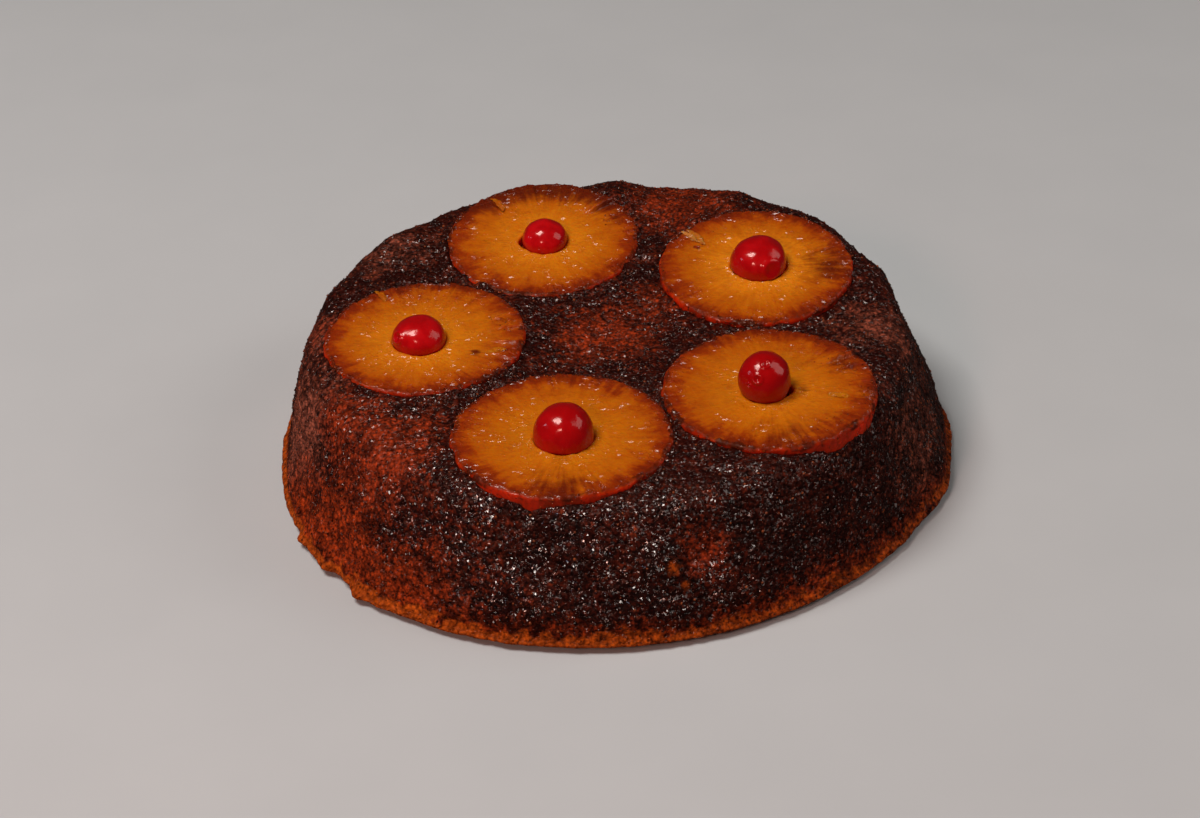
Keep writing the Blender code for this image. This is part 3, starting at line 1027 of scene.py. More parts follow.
@dataclass(frozen=True)
class Bubble:
    """A burst bubble on a cherry: a raised rim round a dimple, by its direction from the middle."""

    toward: Triple
    radius: float
    height: float = 0.35 * MM
    rim_width: float = 0.36
    dimple_width: float = 0.6
    dimple_depth: float = 0.8

    def swell(self, out: np.ndarray, reach: float) -> np.ndarray:
        """How far it lifts the skin at these unit directions, on a cherry of this radius.

        Args:
            out: unit directions from the cherry's middle.
            reach: the cherry's radius.

        Returns:
            The height added along each.
        """
        way = np.array(self.toward) / np.linalg.norm(self.toward)
        away = np.arccos(np.clip(out @ way, -1.0, 1.0)) * reach / self.radius
        rim = np.exp(-(((away - 1) / self.rim_width) ** 2))
        dimple = np.exp(-((away / self.dimple_width) ** 2))
        return self.height * (rim - self.dimple_depth * dimple)


@dataclass(frozen=True)
class Cherry:
    """A cherry, placed from the middle of its ring's hole and the ring's upper face."""

    x: float
    y: float
    z: float
    radius: float
    up: float
    down: float
    lobe: float
    dent_azimuth: float
    seed: float
    fullness: float = 0.9
    bubbles: tuple[Bubble, ...] = ()
    dark: float = 0.0
    steps: int = 144
    rows: int = 96
    dent_share: float = 0.6
    lobes: int = 3
    swells: tuple[Ripple, ...] = (Ripple(0.28 * MM, 5.0 * MM), Ripple(0.06 * MM, 2.2 * MM, 3.0))

    def uneven(self, azimuth: np.ndarray) -> np.ndarray:
        """How its radius varies round it.

        Args:
            azimuth: where it is read, round the middle.

        Returns:
            The part of the radius that is added.
        """
        dent = np.maximum(np.cos(azimuth - math.radians(self.dent_azimuth)), 0.0)
        lobes = np.cos(self.lobes * azimuth)
        return 1.0 - self.lobe * (self.dent_share * dent + (1 - self.dent_share) * lobes)

    def waist(self, azimuth: np.ndarray, level: float) -> np.ndarray:
        """Its radius, from its own middle, at a level measured from the ring's face.

        Args:
            azimuth: where it is read, round the middle.
            level: the height above the ring's face.

        Returns:
            The radius at each azimuth.
        """
        reach = self.up if level > self.z else self.down
        tilt_sine = math.sqrt(max(1.0 - ((level - self.z) / reach) ** 2, 0.0))
        return self.radius * tilt_sine**self.fullness * self.uneven(azimuth)

    def build(self, ring: "PineappleRing") -> bpy.types.Mesh:
        """Makes the cherry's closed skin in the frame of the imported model.

        Args:
            ring: the ring whose hole it fills.

        Returns:
            The mesh.
        """
        tilts = math.pi * np.arange(1, self.rows + 1) / (self.rows + 1)
        azimuths = math.tau * np.arange(self.steps) / self.steps
        tilt, azimuth = np.meshgrid(tilts, azimuths, indexing="ij")
        across = self.radius * np.sin(tilt) ** self.fullness * self.uneven(azimuth)
        z = self.z + np.where(tilt < math.pi / 2, self.up, self.down) * np.cos(tilt)
        x = self.x + across * np.cos(azimuth)
        y = self.y + across * np.sin(azimuth)
        in_hole = ring.hole_radius - GAP - 0.5 * ring.edge
        tight = np.minimum(1.0, in_hole / np.maximum(np.hypot(x, y), GAP))
        tight = 1.0 + (tight - 1.0) * smoothstep((0.5 * ring.edge - z) / ring.edge)
        body = np.stack((ring.hole_x + x * tight, ring.hole_y + y * tight, z), axis=-1)
        middle = np.array((ring.hole_x + self.x, ring.hole_y + self.y, self.z))
        poles = middle + raised(np.array((self.up, -self.down)))
        points = np.concatenate((body.reshape(-1, 3), poles))
        out = (points - middle) / np.linalg.norm(points - middle, axis=1, keepdims=True)
        swell = sum(ripple.at(points, self.seed) for ripple in self.swells)
        swell = sum((bubble.swell(out, self.radius) for bubble in self.bubbles), swell)
        points += out * swell[:, None]
        loops = list(np.arange(self.rows * self.steps).reshape(self.rows, self.steps))
        faces = belt_faces(loops)
        top, bottom = self.rows * self.steps, self.rows * self.steps + 1
        faces += [(top, int(a), int(b)) for a, b in zip(loops[0], np.roll(loops[0], -1))]
        faces += [(bottom, int(b), int(a)) for a, b in zip(loops[-1], np.roll(loops[-1], -1))]
        mesh = make_mesh("cherry", ring.to_frame(points), faces)
        store(mesh, {Layer.BROWNED: self.dark})
        return mesh


@dataclass(frozen=True)
class PineappleRing:
    """A pineapple ring sunk in the crust, with the cherry in its hole.

    Its place and the slope of its upper face are those of the solid. edge is the rounding of its
    edges, proud how far its face stands above the crust. A share is of the way from the hole to the
    outer edge.
    """

    name: str
    x: float
    y: float
    z: float
    slope_x: float
    slope_y: float
    radius: float
    proud: float
    hole_radius: float
    hole_x: float
    hole_y: float
    cherry: Cherry
    blemishes: tuple[Blemish, ...] = ()
    flakes: tuple[Flake, ...] = ()
    folds: tuple[Fold, ...] = ()
    number: int = 0
    gap_azimuth: float = 180.0
    gap_share: float = 0.0
    gap_spread: float = 0.45
    thickness: float = 9.0 * MM
    edge: float = 1.5 * MM
    inner_edge: float = 0.7 * MM
    # Painted light: how much paler the heart is painted, set higher on the farther rings for the brighter
    # light on them.
    pale: float = 0.0
    back_brown: float = 0.9
    back_reach: float = 0.34
    front_brown: float = 0.6
    front_reach: float = 0.38
    notches: int = 15
    wave: float = 0.36 * MM
    wander: Ripple = Ripple(0.6, 0.8)
    fray: Ripple = Ripple(0.32 * MM, 1.8 * MM, 31.0)
    dents: Ripple = Ripple(0.7 * MM, 7 * MM, 33.0)
    hole_fray: Ripple = Ripple(0.15 * MM, 3.0 * MM, 37.0)
    sway: Ripple = Ripple(0.35 * MM, 11.0 * MM, 3.0)
    rim_curl: Ripple = Ripple(0.5 * MM, 1.9 * MM, 47.0)
    lumps: Ripple = Ripple(3.0 * MM, 2.6 * MM, 57.0)
    climb: Ripple = Ripple(0.6, 3.0 * MM, 43.0)
    climb_height: float = 0.8 * MM
    climb_reach: float = 1.7 * MM
    wet_drift: Ripple = Ripple(1.4, 8.0 * MM, 61.0)
    crumb_drift: Ripple = Ripple(1.1, 9.0 * MM, 81.0)
    crumb_reach: Ripple = Ripple(0.05, 4.0 * MM, 83.0)
    brown_drift: Ripple = Ripple(0.5, 9.0 * MM, 51.0)
    steps: int = 540
    face_rows: int = 40

    def hole_edge(self, azimuth: np.ndarray) -> np.ndarray:
        """Radius of the hole, which closes round the cherry except where a gap is left.

        Args:
            azimuth: where it is read, round the middle.

        Returns:
            The radius at each azimuth.
        """
        shift = self.cherry.x * np.cos(azimuth) + self.cherry.y * np.sin(azimuth)
        level = -2 * GAP
        snug = np.minimum(self.cherry.waist(azimuth, level) + shift, self.hole_radius - 2 * GAP)
        turn = (azimuth - math.radians(self.gap_azimuth) + math.pi) % math.tau - math.pi
        share = self.gap_share * np.exp(-((turn / self.gap_spread) ** 2))
        return snug + (self.hole_radius - snug) * share

    def face_height(self, x: np.ndarray, y: np.ndarray) -> np.ndarray:
        """Height of the upper face, drawn on past its edge, measured from the cake's axis.

        Args:
            x: places across.
            y: places in depth.

        Returns:
            The height at each.
        """
        rise_x = math.tan(math.radians(self.slope_x)) * (x - self.x)
        rise_y = math.tan(math.radians(self.slope_y)) * (y - self.y)
        return self.z + rise_x + rise_y

    def to_frame(self, points: np.ndarray) -> np.ndarray:
        """Moves points from the ring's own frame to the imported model's.

        Args:
            points: the points, in the ring's own frame.

        Returns:
            The same points in the model's frame.
        """
        tan_x = math.tan(math.radians(self.slope_x))
        tan_y = math.tan(math.radians(self.slope_y))
        turn = Vector((0, 0, 1)).rotation_difference(Vector((-tan_x, -tan_y, 1))).to_matrix()
        return points @ np.array(turn).T + np.array((self.x, self.y, self.z)) + AXIS

    def outline(self, azimuth: np.ndarray, others: Sequence["PineappleRing"]) -> np.ndarray:
        """Radius of the notched outer edge.

        Args:
            azimuth: where it is read.
            others: the rings, of which near ones flatten this one.

        Returns:
            The radius at each azimuth.
        """
        seed = 10.0 * (1 + self.number)
        outward = directions(azimuth)
        wander = self.wander.at(outward, seed)
        notch = np.abs(np.sin(0.5 * self.notches * azimuth + 1.5 * wander + seed))
        reach = self.radius + self.wave * (1.4 * notch - 0.7 + wander)
        for other in others:
            between = np.array((other.x - self.x, other.y - self.y))
            length = float(np.hypot(*between))
            if other is self or length > 2.5 * self.radius:
                continue
            facing = outward[:, :2] @ between
            flat = (length + self.radius - other.radius - 1.5 * GAP) / 2
            room = flat * length / np.maximum(facing, 1e-9)
            reach = np.minimum(reach, np.where(facing > 0, room, reach))
        return reach

    def sections(
        self, outward: np.ndarray, inner: np.ndarray, outer: np.ndarray
    ) -> list[tuple[np.ndarray, float, float]]:
        """Rows of points up the hole, over the face, down the side and back underneath.

        Args:
            outward: the direction of each column.
            inner: the hole's radius in each.
            outer: the outer edge's radius in each.

        Returns:
            For each row its points, its share, and how far it is cut side and not face.
        """
        hole = np.array((self.hole_x, self.hole_y, 0.0))
        rows: list[tuple[np.ndarray, float, float]] = []

        def inner_row(out: float, z: float, side: float) -> None:
            """Adds a row this far out from the hole's edge."""
            rows.append((hole + outward * (inner + out)[:, None] + (0, 0, z), 0.0, side))

        def outer_row(into: float, z: float, side: float) -> None:
            """Adds a row this far in from the outer edge."""
            rows.append((outward * (outer - into)[:, None] + (0, 0, z), 1.0, side))

        for z in np.linspace(-self.thickness, -self.inner_edge, 8):
            inner_row(0.0, z, 1.0)
        for bend in np.radians(np.linspace(15, 90, 6)):
            inner_row(self.inner_edge * (1 - math.cos(bend)), self.inner_edge * (math.sin(bend) - 1), 0.2)
        rim_in, rim_out = rows[-1][0], outward * (outer - self.edge)[:, None]
        for share in np.linspace(0, 1, self.face_rows + 2)[1:-1]:
            rows.append((rim_in + (rim_out - rim_in) * share, float(share), 0.0))
        for turn in np.linspace(90, 0, 8):
            bend = math.radians(turn)
            side = 0.9 * float(smoothstep(np.array(1 - turn / 80)))
            outer_row(self.edge * (1 - math.cos(bend)), self.edge * (math.sin(bend) - 1), side)
        for z in np.linspace(-self.edge, self.edge - self.thickness, 9)[1:]:
            outer_row(0.3 * self.edge * (-z - self.edge) / (self.thickness - 2 * self.edge), z, 1.0)
        outer_row(self.edge, -self.thickness, 1.0)
        for share in (0.75, 0.5, 0.25):
            low_out, low_in = rows[-1][0], rows[0][0]
            rows.append((low_in + (low_out - low_in) * share, share, 1.0))
        return rows

    def build(self, others: Sequence["PineappleRing"]) -> bpy.types.Mesh:
        """Makes the ring's closed skin, with what its finish reads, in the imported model's frame.

        Args:
            others: the rings, of which near ones flatten this one.

        Returns:
            The mesh.
        """
        azimuth = math.tau * np.arange(self.steps) / self.steps
        outward = directions(azimuth)
        edge = outward * self.radius
        outer = self.outline(azimuth, others) + self.fray.at(edge, self.number)
        outer -= np.maximum(self.dents.at(edge, self.number), 0.0)
        inner = self.hole_edge(azimuth) + self.hole_fray.at(outward * self.hole_radius)
        rows = self.sections(outward, inner, outer)
        points = np.concatenate([row for row, _, _ in rows])
        share = np.repeat([share for _, share, _ in rows], self.steps)
        side = np.repeat([side for _, _, side in rows], self.steps)
        points[:, 2] += (1 - side) * self.sway.at(points, self.number)
        rim = smoothstep((share - 0.9) / 0.1)
        points[:, 2] += (1 - side) * rim * self.rim_curl.at(points, self.number)
        lumps = np.abs(self.lumps.at(points, self.number))
        for spot in self.blemishes:
            points[:, 2] += (1 - side) * spot.crumbs * lumps * spot.near(points)
        for fold in self.folds:
            points[:, 2] += (1 - side) * fold.lift(points, share)
        climb = 0.6 + self.climb.at(points, self.number)
        from_hole = share * (self.radius - self.hole_radius) / self.climb_reach
        points[:, 2] += (1 - side) * self.climb_height * climb * np.exp(-(from_hole**2))
        loops = list(np.arange(len(points)).reshape(len(rows), self.steps))
        mesh = make_mesh(self.name, self.to_frame(points), belt_faces(loops[::-1], closed=True))
        fibre = np.column_stack((np.tile(outward[:, :2], (len(rows), 1)), share))
        store(mesh, {
            Layer.FIBRE: fibre + 10.0 * self.number, Layer.SHARE: share, Layer.SIDE: side,
            Layer.PALE: self.pale, Layer.ROUGH: np.where(side > 0.95, 0.4, 1.0),
            Layer.BROWNED: self.browning(points, share),
            Layer.WET: (1 - side) * self.wetness(points, share),
            Layer.SPRINKLE: self.crumbed(points, share),
        })
        return mesh

    def wetness(self, points: np.ndarray, share: np.ndarray) -> np.ndarray:
        """How wet the face is: more by the hole, at the rim and in drifts.

        Args:
            points: the points, in the ring's own frame.
            share: how far out each point lies, from 0 at the hole to 1 at the edge.

        Returns:
            The wetness of each, from 0 to 1.
        """
        drift = smoothstep(0.3 + self.wet_drift.at(points, self.number))
        rim = smoothstep((share - 0.72) / 0.25)
        heart = np.exp(-((share / 0.16) ** 2)) * (points[:, 1] < self.hole_y)
        return np.clip(0.15 + 0.9 * drift * rim + 0.8 * heart + 0.40 * drift, 0.0, 1.0)

    def crumbed(self, points: np.ndarray, share: np.ndarray) -> np.ndarray:
        """How thickly the crust's crumbs have crept over the edge.

        Args:
            points: the points, in the ring's own frame.
            share: how far out each point lies, from 0 at the hole to 1 at the edge.

        Returns:
            The thickness on each, from 0 to 1.
        """
        drift = 0.45 + 0.55 * smoothstep(0.42 + self.crumb_drift.at(points, self.number))
        reach = 0.06 + self.crumb_reach.at(points, self.number)
        sunk = 1.0 - 0.6 * smoothstep((-points[:, 2] - 1.0 * MM) / (2.0 * MM))
        crumbs = drift * sunk * smoothstep((share - 1.0 + reach) / 0.09)
        for spot in self.blemishes:
            crumbs = np.maximum(crumbs, spot.crumbs * spot.near(points))
        return np.maximum(crumbs - 0.06, 0.0)

    def browning(self, points: np.ndarray, share: np.ndarray) -> np.ndarray:
        """How browned each point is, from 0 to 1: by the rim, at the back and front, and lower down.

        Args:
            points: the points, in the ring's own frame.
            share: how far out each point lies, from 0 at the hole to 1 at the edge.

        Returns:
            The browning of each.
        """
        uneven = 0.5 + self.brown_drift.at(points, self.number)
        brown = smoothstep((share - 0.93) / 0.10) * (0.45 + 0.5 * uneven)
        back = self.back_brown * smoothstep(points[:, 1] / self.radius) * (0.35 + 0.65 * uneven)
        streaks = smoothstep((share - 1.0 + self.back_reach) / self.back_reach)
        front = self.front_brown * smoothstep(-1.3 * points[:, 1] / self.radius) * (0.4 + 0.6 * uneven)
        rim = smoothstep((share - 1.0 + self.front_reach) / self.front_reach)
        depth = 0.35 * smoothstep((-points[:, 2] - self.edge) / (0.5 * self.thickness))
        for more in (back * streaks, front * rim, depth * smoothstep((share - 0.9) / 0.1)):
            brown = np.maximum(brown, more)
        for spot in self.blemishes:
            brown = np.maximum(brown, spot.amount * spot.near(points))
        return np.clip(brown, 0.0, 1.0)


# Crust.


@dataclass(frozen=True)
class Knob:
    """A crag, or where its height is negative a scar, in the crust. Its azimuth is in degrees."""

    azimuth: float
    z: float
    height: float
    width: float
    turned_up: float = 0.0


@dataclass(frozen=True)
class Patch:
    """A place where the crust baked differently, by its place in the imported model's frame."""

    tone: Tone
    x: float
    y: float
    z: float
    radius: float
    amount: float


@dataclass
class Crust:
    """The sponge under its caramel crust, from the middle of its top to its flat base."""

    rings: Sequence[PineappleRing]
    base_outline: tuple[float, ...] = (
        134.0, 134.5, 131.5, 129.0, 129.5, 130.0, 127.0, 127.2, 130.6, 128.2, 127.0, 129.4,
    )
    top_outline: tuple[float, ...] = (
        114.6, 115.4, 113.6, 110.2, 110.4, 113.4, 112.8, 112.2, 112.6, 113.6, 112.4, 115.6,
    )
    shoulder: float = 10.0 * MM
    side_bulge: float = 0.8 * MM
    back_fall_start: float = 68.0 * MM
    back_fall: float = 2.7
    lip_top: float = 5.2 * MM
    lip_middle: float = 3.2 * MM
    lip_out: float = 1.7 * MM
    lip_under: float = 2.0 * MM
    foot_in: float = 5.0 * MM
    lip_lump: Ripple = Ripple(1.0, 17.0 * MM, 11.0)
    lip_crumbs: tuple[Ripple, ...] = (
        Ripple(0.45 * MM, 4.0 * MM, 13.0), Ripple(0.3 * MM, 1.7 * MM, 17.0),
    )
    swell: Ripple = Ripple(1.5 * MM, 27.0 * MM, 3.0)
    crag: Ripple = Ripple(0.9 * MM, 9.5 * MM, 7.0)
    relief_fade: float = 8.0 * MM
    calm_radius: float = 50.0 * MM
    knob_fade: float = 30.0 * MM
    lap: Ripple = Ripple(1.0, 6 * MM, 71.0)
    lap_height: float = 1.2 * MM
    lap_reach: float = 1.6 * MM
    cling_height: float = 0.6 * MM
    pocket_reach: float = 8 * MM
    pocket_floor: float = 30 * MM
    pocket_wall: float = 2.2 * MM
    seat_bite: float = 0.8 * MM
    seat_deepest: float = -2.8 * MM
    seat_wall: float = 1.2 * MM
    patch_edge: Ripple = Ripple(0.25, 13.0 * MM, 21.0)
    rim_speckle: Ripple = Ripple(4.0 * MM, 3.5 * MM, 25.0)
    rim_height: float = 4.8 * MM
    rim_fade: float = 4.0 * MM
    rim_climb: float = 8.0 * MM
    sponge_fade: float = 14.0 * MM
    sponge_most: float = 0.55
    hole_depth: float = 5 * MM
    hole_glow: float = 13 * MM
    glow_most: float = 1.2
    wet_azimuth: float = -102.0
    wet_spread: float = 32.0
    wet_least: float = 0.42
    wet_from: float = 80 * MM
    wet_fade: float = 30 * MM
    wet_rise: float = 20 * MM
    top_rows: int = 104
    shoulder_rows: int = 15
    side_rows: int = 42
    knobs: tuple[Knob, ...] = (
        Knob(87, 62 * MM, 3.4 * MM, 9 * MM, 0.9),
        Knob(59, 62 * MM, 2.4 * MM, 8 * MM, 0.9),
        Knob(110, 60 * MM, 1.6 * MM, 12 * MM, 0.6),
        Knob(140, 56 * MM, 1.5 * MM, 9 * MM, 0.5),
        Knob(163, 56 * MM, 3.2 * MM, 9 * MM, 0.5),
        Knob(190, 44 * MM, 2.4 * MM, 11 * MM),
        Knob(-75, 30 * MM, -1.6 * MM, 11 * MM),
        Knob(-33, 22 * MM, -1.4 * MM, 9 * MM),
        Knob(-16, 9 * MM, 2.2 * MM, 15 * MM),
        Knob(40, 60 * MM, 1.6 * MM, 14 * MM, 0.8),
        Knob(212, 6 * MM, 2.6 * MM, 14 * MM),
        Knob(228, 5 * MM, 2.2 * MM, 12 * MM),
        Knob(197, 7 * MM, 1.6 * MM, 11 * MM),
        Knob(203, 8 * MM, 2.2 * MM, 4.5 * MM),
        Knob(208, 4 * MM, 2.6 * MM, 4 * MM),
        Knob(213, 9 * MM, 1.9 * MM, 4 * MM),
        Knob(217, 4 * MM, 2.8 * MM, 4.5 * MM),
        Knob(222, 7 * MM, 2.1 * MM, 4 * MM),
        Knob(226, 3 * MM, 2.4 * MM, 4 * MM),
        Knob(-41, 24 * MM, -2.2 * MM, 5 * MM),
        Knob(-42, 15 * MM, -2.0 * MM, 5 * MM),
        Knob(-39, 34 * MM, -1.6 * MM, 5 * MM),
        Knob(20, 50 * MM, 1.5 * MM, 12 * MM),
        Knob(-118, 44 * MM, 1.4 * MM, 10 * MM),
        Knob(72, 25 * MM, 1.8 * MM, 13 * MM),
        Knob(125, 20 * MM, -1.5 * MM, 12 * MM),
    )
    patches: tuple[Patch, ...] = (
        Patch(Tone.EMBER, -84 * MM, -73 * MM, 47 * MM, 22 * MM, 0.95),
        Patch(Tone.EMBER, -100 * MM, -54 * MM, 50 * MM, 17 * MM, 0.75),
        Patch(Tone.EMBER, 28 * MM, -116 * MM, 32 * MM, 10 * MM, 0.75),
        Patch(Tone.RIM, 18 * MM, -118 * MM, 29 * MM, 4 * MM, 0.9),
        Patch(Tone.RIM, 23 * MM, -120 * MM, 22 * MM, 2.5 * MM, 0.8),
        Patch(Tone.EMBER, -60 * MM, -110 * MM, 28 * MM, 26 * MM, 0.35),
        Patch(Tone.EMBER, -6 * MM, -4 * MM, 54 * MM, 22 * MM, 0.75),
        Patch(Tone.EMBER, 14 * MM, 17 * MM, 57 * MM, 16 * MM, 0.6),
        Patch(Tone.EMBER, 28 * MM, 84 * MM, 62 * MM, 28 * MM, 0.72),
        Patch(Tone.SPONGE, -103 * MM, -79 * MM, 14 * MM, 30 * MM, 0.85),
        Patch(Tone.SPONGE, -118 * MM, -55 * MM, 6 * MM, 24 * MM, 0.9),
        Patch(Tone.SPONGE, -78 * MM, -105 * MM, 8 * MM, 26 * MM, 0.75),
        Patch(Tone.ASH, -121 * MM, -30 * MM, 31 * MM, 30 * MM, 0.85),
        Patch(Tone.ASH, -113 * MM, 0.0, 54 * MM, 18 * MM, 0.6),
        Patch(Tone.ASH, -90 * MM, 56 * MM, 60 * MM, 22 * MM, 0.45),
        Patch(Tone.EMBER, -112 * MM, 2 * MM, 55 * MM, 16 * MM, 0.5),
        Patch(Tone.ASH, 114 * MM, -39 * MM, 31 * MM, 34 * MM, 0.42),
        Patch(Tone.ASH, 102 * MM, -6 * MM, 55 * MM, 24 * MM, 0.5),
    )
    steps: int = field(init=False)

    def __post_init__(self) -> None:
        """The side has as many columns as the outermost square of the top has points."""
        self.steps = 8 * self.top_rows

    def height(self, x: np.ndarray, y: np.ndarray) -> np.ndarray:
        """Height of the top: it follows the faces of the rings nearby.

        Args:
            x: places across.
            y: places in depth.

        Returns:
            The height at each.
        """
        total = np.zeros_like(x)
        weights = np.zeros_like(x)
        for ring in self.rings:
            away = np.maximum(np.hypot(x - ring.x, y - ring.y) - 0.6 * ring.radius, 4 * MM)
            weight = 1.0 / away**2
            total += weight * (ring.face_height(x, y) - ring.proud)
            weights += weight
        return total / weights - self.back_fall * np.maximum(y - self.back_fall_start, 0.0) ** 2

    def on_top(self, outward: np.ndarray, radius: np.ndarray) -> np.ndarray:
        """Points of the smooth top at these distances from the axis."""
        flat = outward * radius[:, None]
        return flat + raised(self.height(flat[:, 0], flat[:, 1]))

    def roughened(self, points: np.ndarray, outward: np.ndarray, along: float) -> np.ndarray:
        """Adds swells, crags and knobs.

        Args:
            points: places on the smooth form.
            outward: the horizontal direction away from the axis at each.
            along: 0 where the relief points up, 1 where it points outwards.

        Returns:
            The points, moved.
        """
        fade = smoothstep((points[:, 2] - self.lip_top) / self.relief_fade)
        fade *= 0.4 + 0.6 * smoothstep(np.hypot(points[:, 0], points[:, 1]) / self.calm_radius)
        relief = fade * (self.swell.at(points) + self.crag.at(points))
        push = outward * along + raised(np.full(len(points), 1.0 - along))
        return points + push * relief[:, None] + self.knob_push(points, outward)

    def knob_push(self, points: np.ndarray, outward: np.ndarray) -> np.ndarray:
        """Sum of the knobs' and scars' offsets at each point, none of which reach the middle.

        Args:
            points: places, one to a row.
            outward: the level direction away from the axis at each.

        Returns:
            The offsets.
        """
        push = np.zeros_like(points)
        reach = np.hypot(points[:, 0], points[:, 1])
        for knob in self.knobs:
            middle = directions(np.full(len(points), math.radians(knob.azimuth))) * reach[:, None]
            middle[:, 2] = knob.z
            away = np.linalg.norm(points - middle, axis=1) / knob.width
            direction = outward * (1.0 - knob.turned_up) + (0, 0, knob.turned_up)
            push += (knob.height * np.exp(-(away**2)))[:, None] * direction
        return push * smoothstep((reach - self.calm_radius) / self.knob_fade)[:, None]

    def top_grid(self) -> tuple[np.ndarray, np.ndarray]:
        """A square grid drawn onto a disc.

        Returns:
            The azimuth, and the share of the way to the shoulder, at each point.
        """
        line = np.arange(-self.top_rows, self.top_rows + 1)
        i, j = (grid.ravel().astype(float) for grid in np.meshgrid(line, line, indexing="ij"))
        wide = np.abs(i) >= np.abs(j)
        reach = np.where(wide, i, j)
        other = np.where(wide, j, i)
        turn = math.pi / 4 * other / np.where(reach == 0, 1.0, reach)
        turn = np.where(wide, turn, math.pi / 2 - turn)
        x, y = reach * np.cos(turn), reach * np.sin(turn)
        return np.arctan2(y, x) % math.tau, np.abs(reach) / self.top_rows

    def side_sections(self, azimuth: np.ndarray) -> list[np.ndarray]:
        """Rows of points from the start of the shoulder down to the foot.

        Args:
            azimuth: the direction of each column.

        Returns:
            The rows, from the top one down.
        """
        outward = directions(azimuth)
        foot_radius = around(self.base_outline, azimuth)
        top_radius = around(self.top_outline, azimuth)
        corner = self.on_top(outward, top_radius)
        side_foot = outward * foot_radius[:, None] + (0, 0, self.lip_top)
        slant = side_foot - corner
        slant /= np.linalg.norm(slant, axis=1, keepdims=True)
        shoulder_top = self.on_top(outward, top_radius - self.shoulder)
        shoulder_side = corner + slant * self.shoulder
        rows = []
        for step in range(1, self.shoulder_rows + 1):
            u = step / self.shoulder_rows
            curve = (1 - u) ** 2 * shoulder_top + 2 * u * (1 - u) * corner + u**2 * shoulder_side
            rows.append(self.roughened(curve, outward, float(smoothstep(np.array(u)))))
        for step in range(1, self.side_rows + 1):
            u = step / self.side_rows
            bulge = self.side_bulge * math.sin(math.pi * u)
            line = shoulder_side + (side_foot - shoulder_side) * u + outward * bulge
            rows.append(self.roughened(line, outward, 1.0))
        rows.extend(self.lip_rows(outward, foot_radius))
        return rows

    def lip_rows(self, outward: np.ndarray, foot_radius: np.ndarray) -> list[np.ndarray]:
        """Rows of the lip that spread over the tin's edge, and of the shadow gap under it.

        Args:
            outward: the direction of each column.
            foot_radius: the foot's radius in each.

        Returns:
            The rows, from the top one down.
        """
        foot = outward * foot_radius[:, None]
        lump = self.lip_lump.at(foot)
        crumble = sum(crumbs.at(foot) for crumbs in self.lip_crumbs)
        middle = self.lip_out * (1.0 + 0.5 * lump)
        under = self.lip_out * 0.3 * (1.0 + lump)
        rows = []
        for out, z, rough in (
            (0.45 * middle, self.lip_top - 0.7 * MM, 0.6),
            (middle, self.lip_middle + 0.5 * MM, 1.0),
            (middle + 0.1 * MM, self.lip_middle - 0.4 * MM, 1.0),
            (0.6 * middle + 0.4 * under, self.lip_under + 0.4 * MM, 0.8),
            (under, self.lip_under, 0.4),
            (-self.foot_in, 0.0, 0.0),
        ):
            place = outward * (foot_radius + out + rough * crumble)[:, None] + (0, 0, z)
            rows.append(place + self.knob_push(place, outward) * (1.0 if z > 0 else 0.0))
        return rows

    def pockets(self, points: np.ndarray) -> tuple[np.ndarray, np.ndarray]:
        """Sinks the top under the rings and keeps it below their faces beside them.

        Args:
            points: the crust's points, from the cake's axis.

        Returns:
            The points, moved, and how far each lies open to the air, from 0 to 1.
        """
        points = points.copy()
        bare = np.ones(len(points))
        for ring in self.rings:
            x, y = points[:, 0] - ring.x, points[:, 1] - ring.y
            away = np.hypot(x, y)
            near = np.flatnonzero(
                (away < ring.radius + self.pocket_reach) & (points[:, 2] > self.pocket_floor)
            )
            x, y, away = x[near], y[near], away[near]
            face = ring.face_height(points[near, 0], points[near, 1])
            z = points[near, 2]
            outside = away - ring.outline(np.arctan2(y, x), self.rings)
            beyond = np.maximum(outside, 0.0)
            lap = np.maximum(self.lap.at(points[near] * (1, 1, 0)), 0.0)
            cling = self.cling_height * np.exp(-((beyond / self.lap_reach) ** 2))
            roof = face - 0.35 * ring.proud * (1 - lap) + 0.8 * beyond
            z = np.minimum(z + cling + self.lap_height * lap, roof)
            sunk = smoothstep((-outside - 0.2 * MM - self.lap_reach * lap) / self.pocket_wall)
            z += (face - ring.thickness - GAP - z) * sunk
            hole = np.arctan2(y - ring.hole_y, x - ring.hole_x)
            in_hole = np.hypot(x - ring.hole_x, y - ring.hole_y) - ring.hole_edge(hole)
            seat = smoothstep(0.5 - in_hole / self.seat_wall)
            cherry_foot = ring.cherry.z - ring.cherry.down
            seat_z = face + max(cherry_foot + self.seat_bite, self.seat_deepest)
            z = np.where(seat > 0, z + (seat_z - z) * seat, z)
            points[near, 2] = z
            bare[near] *= 1.0 - sunk
        return points, bare

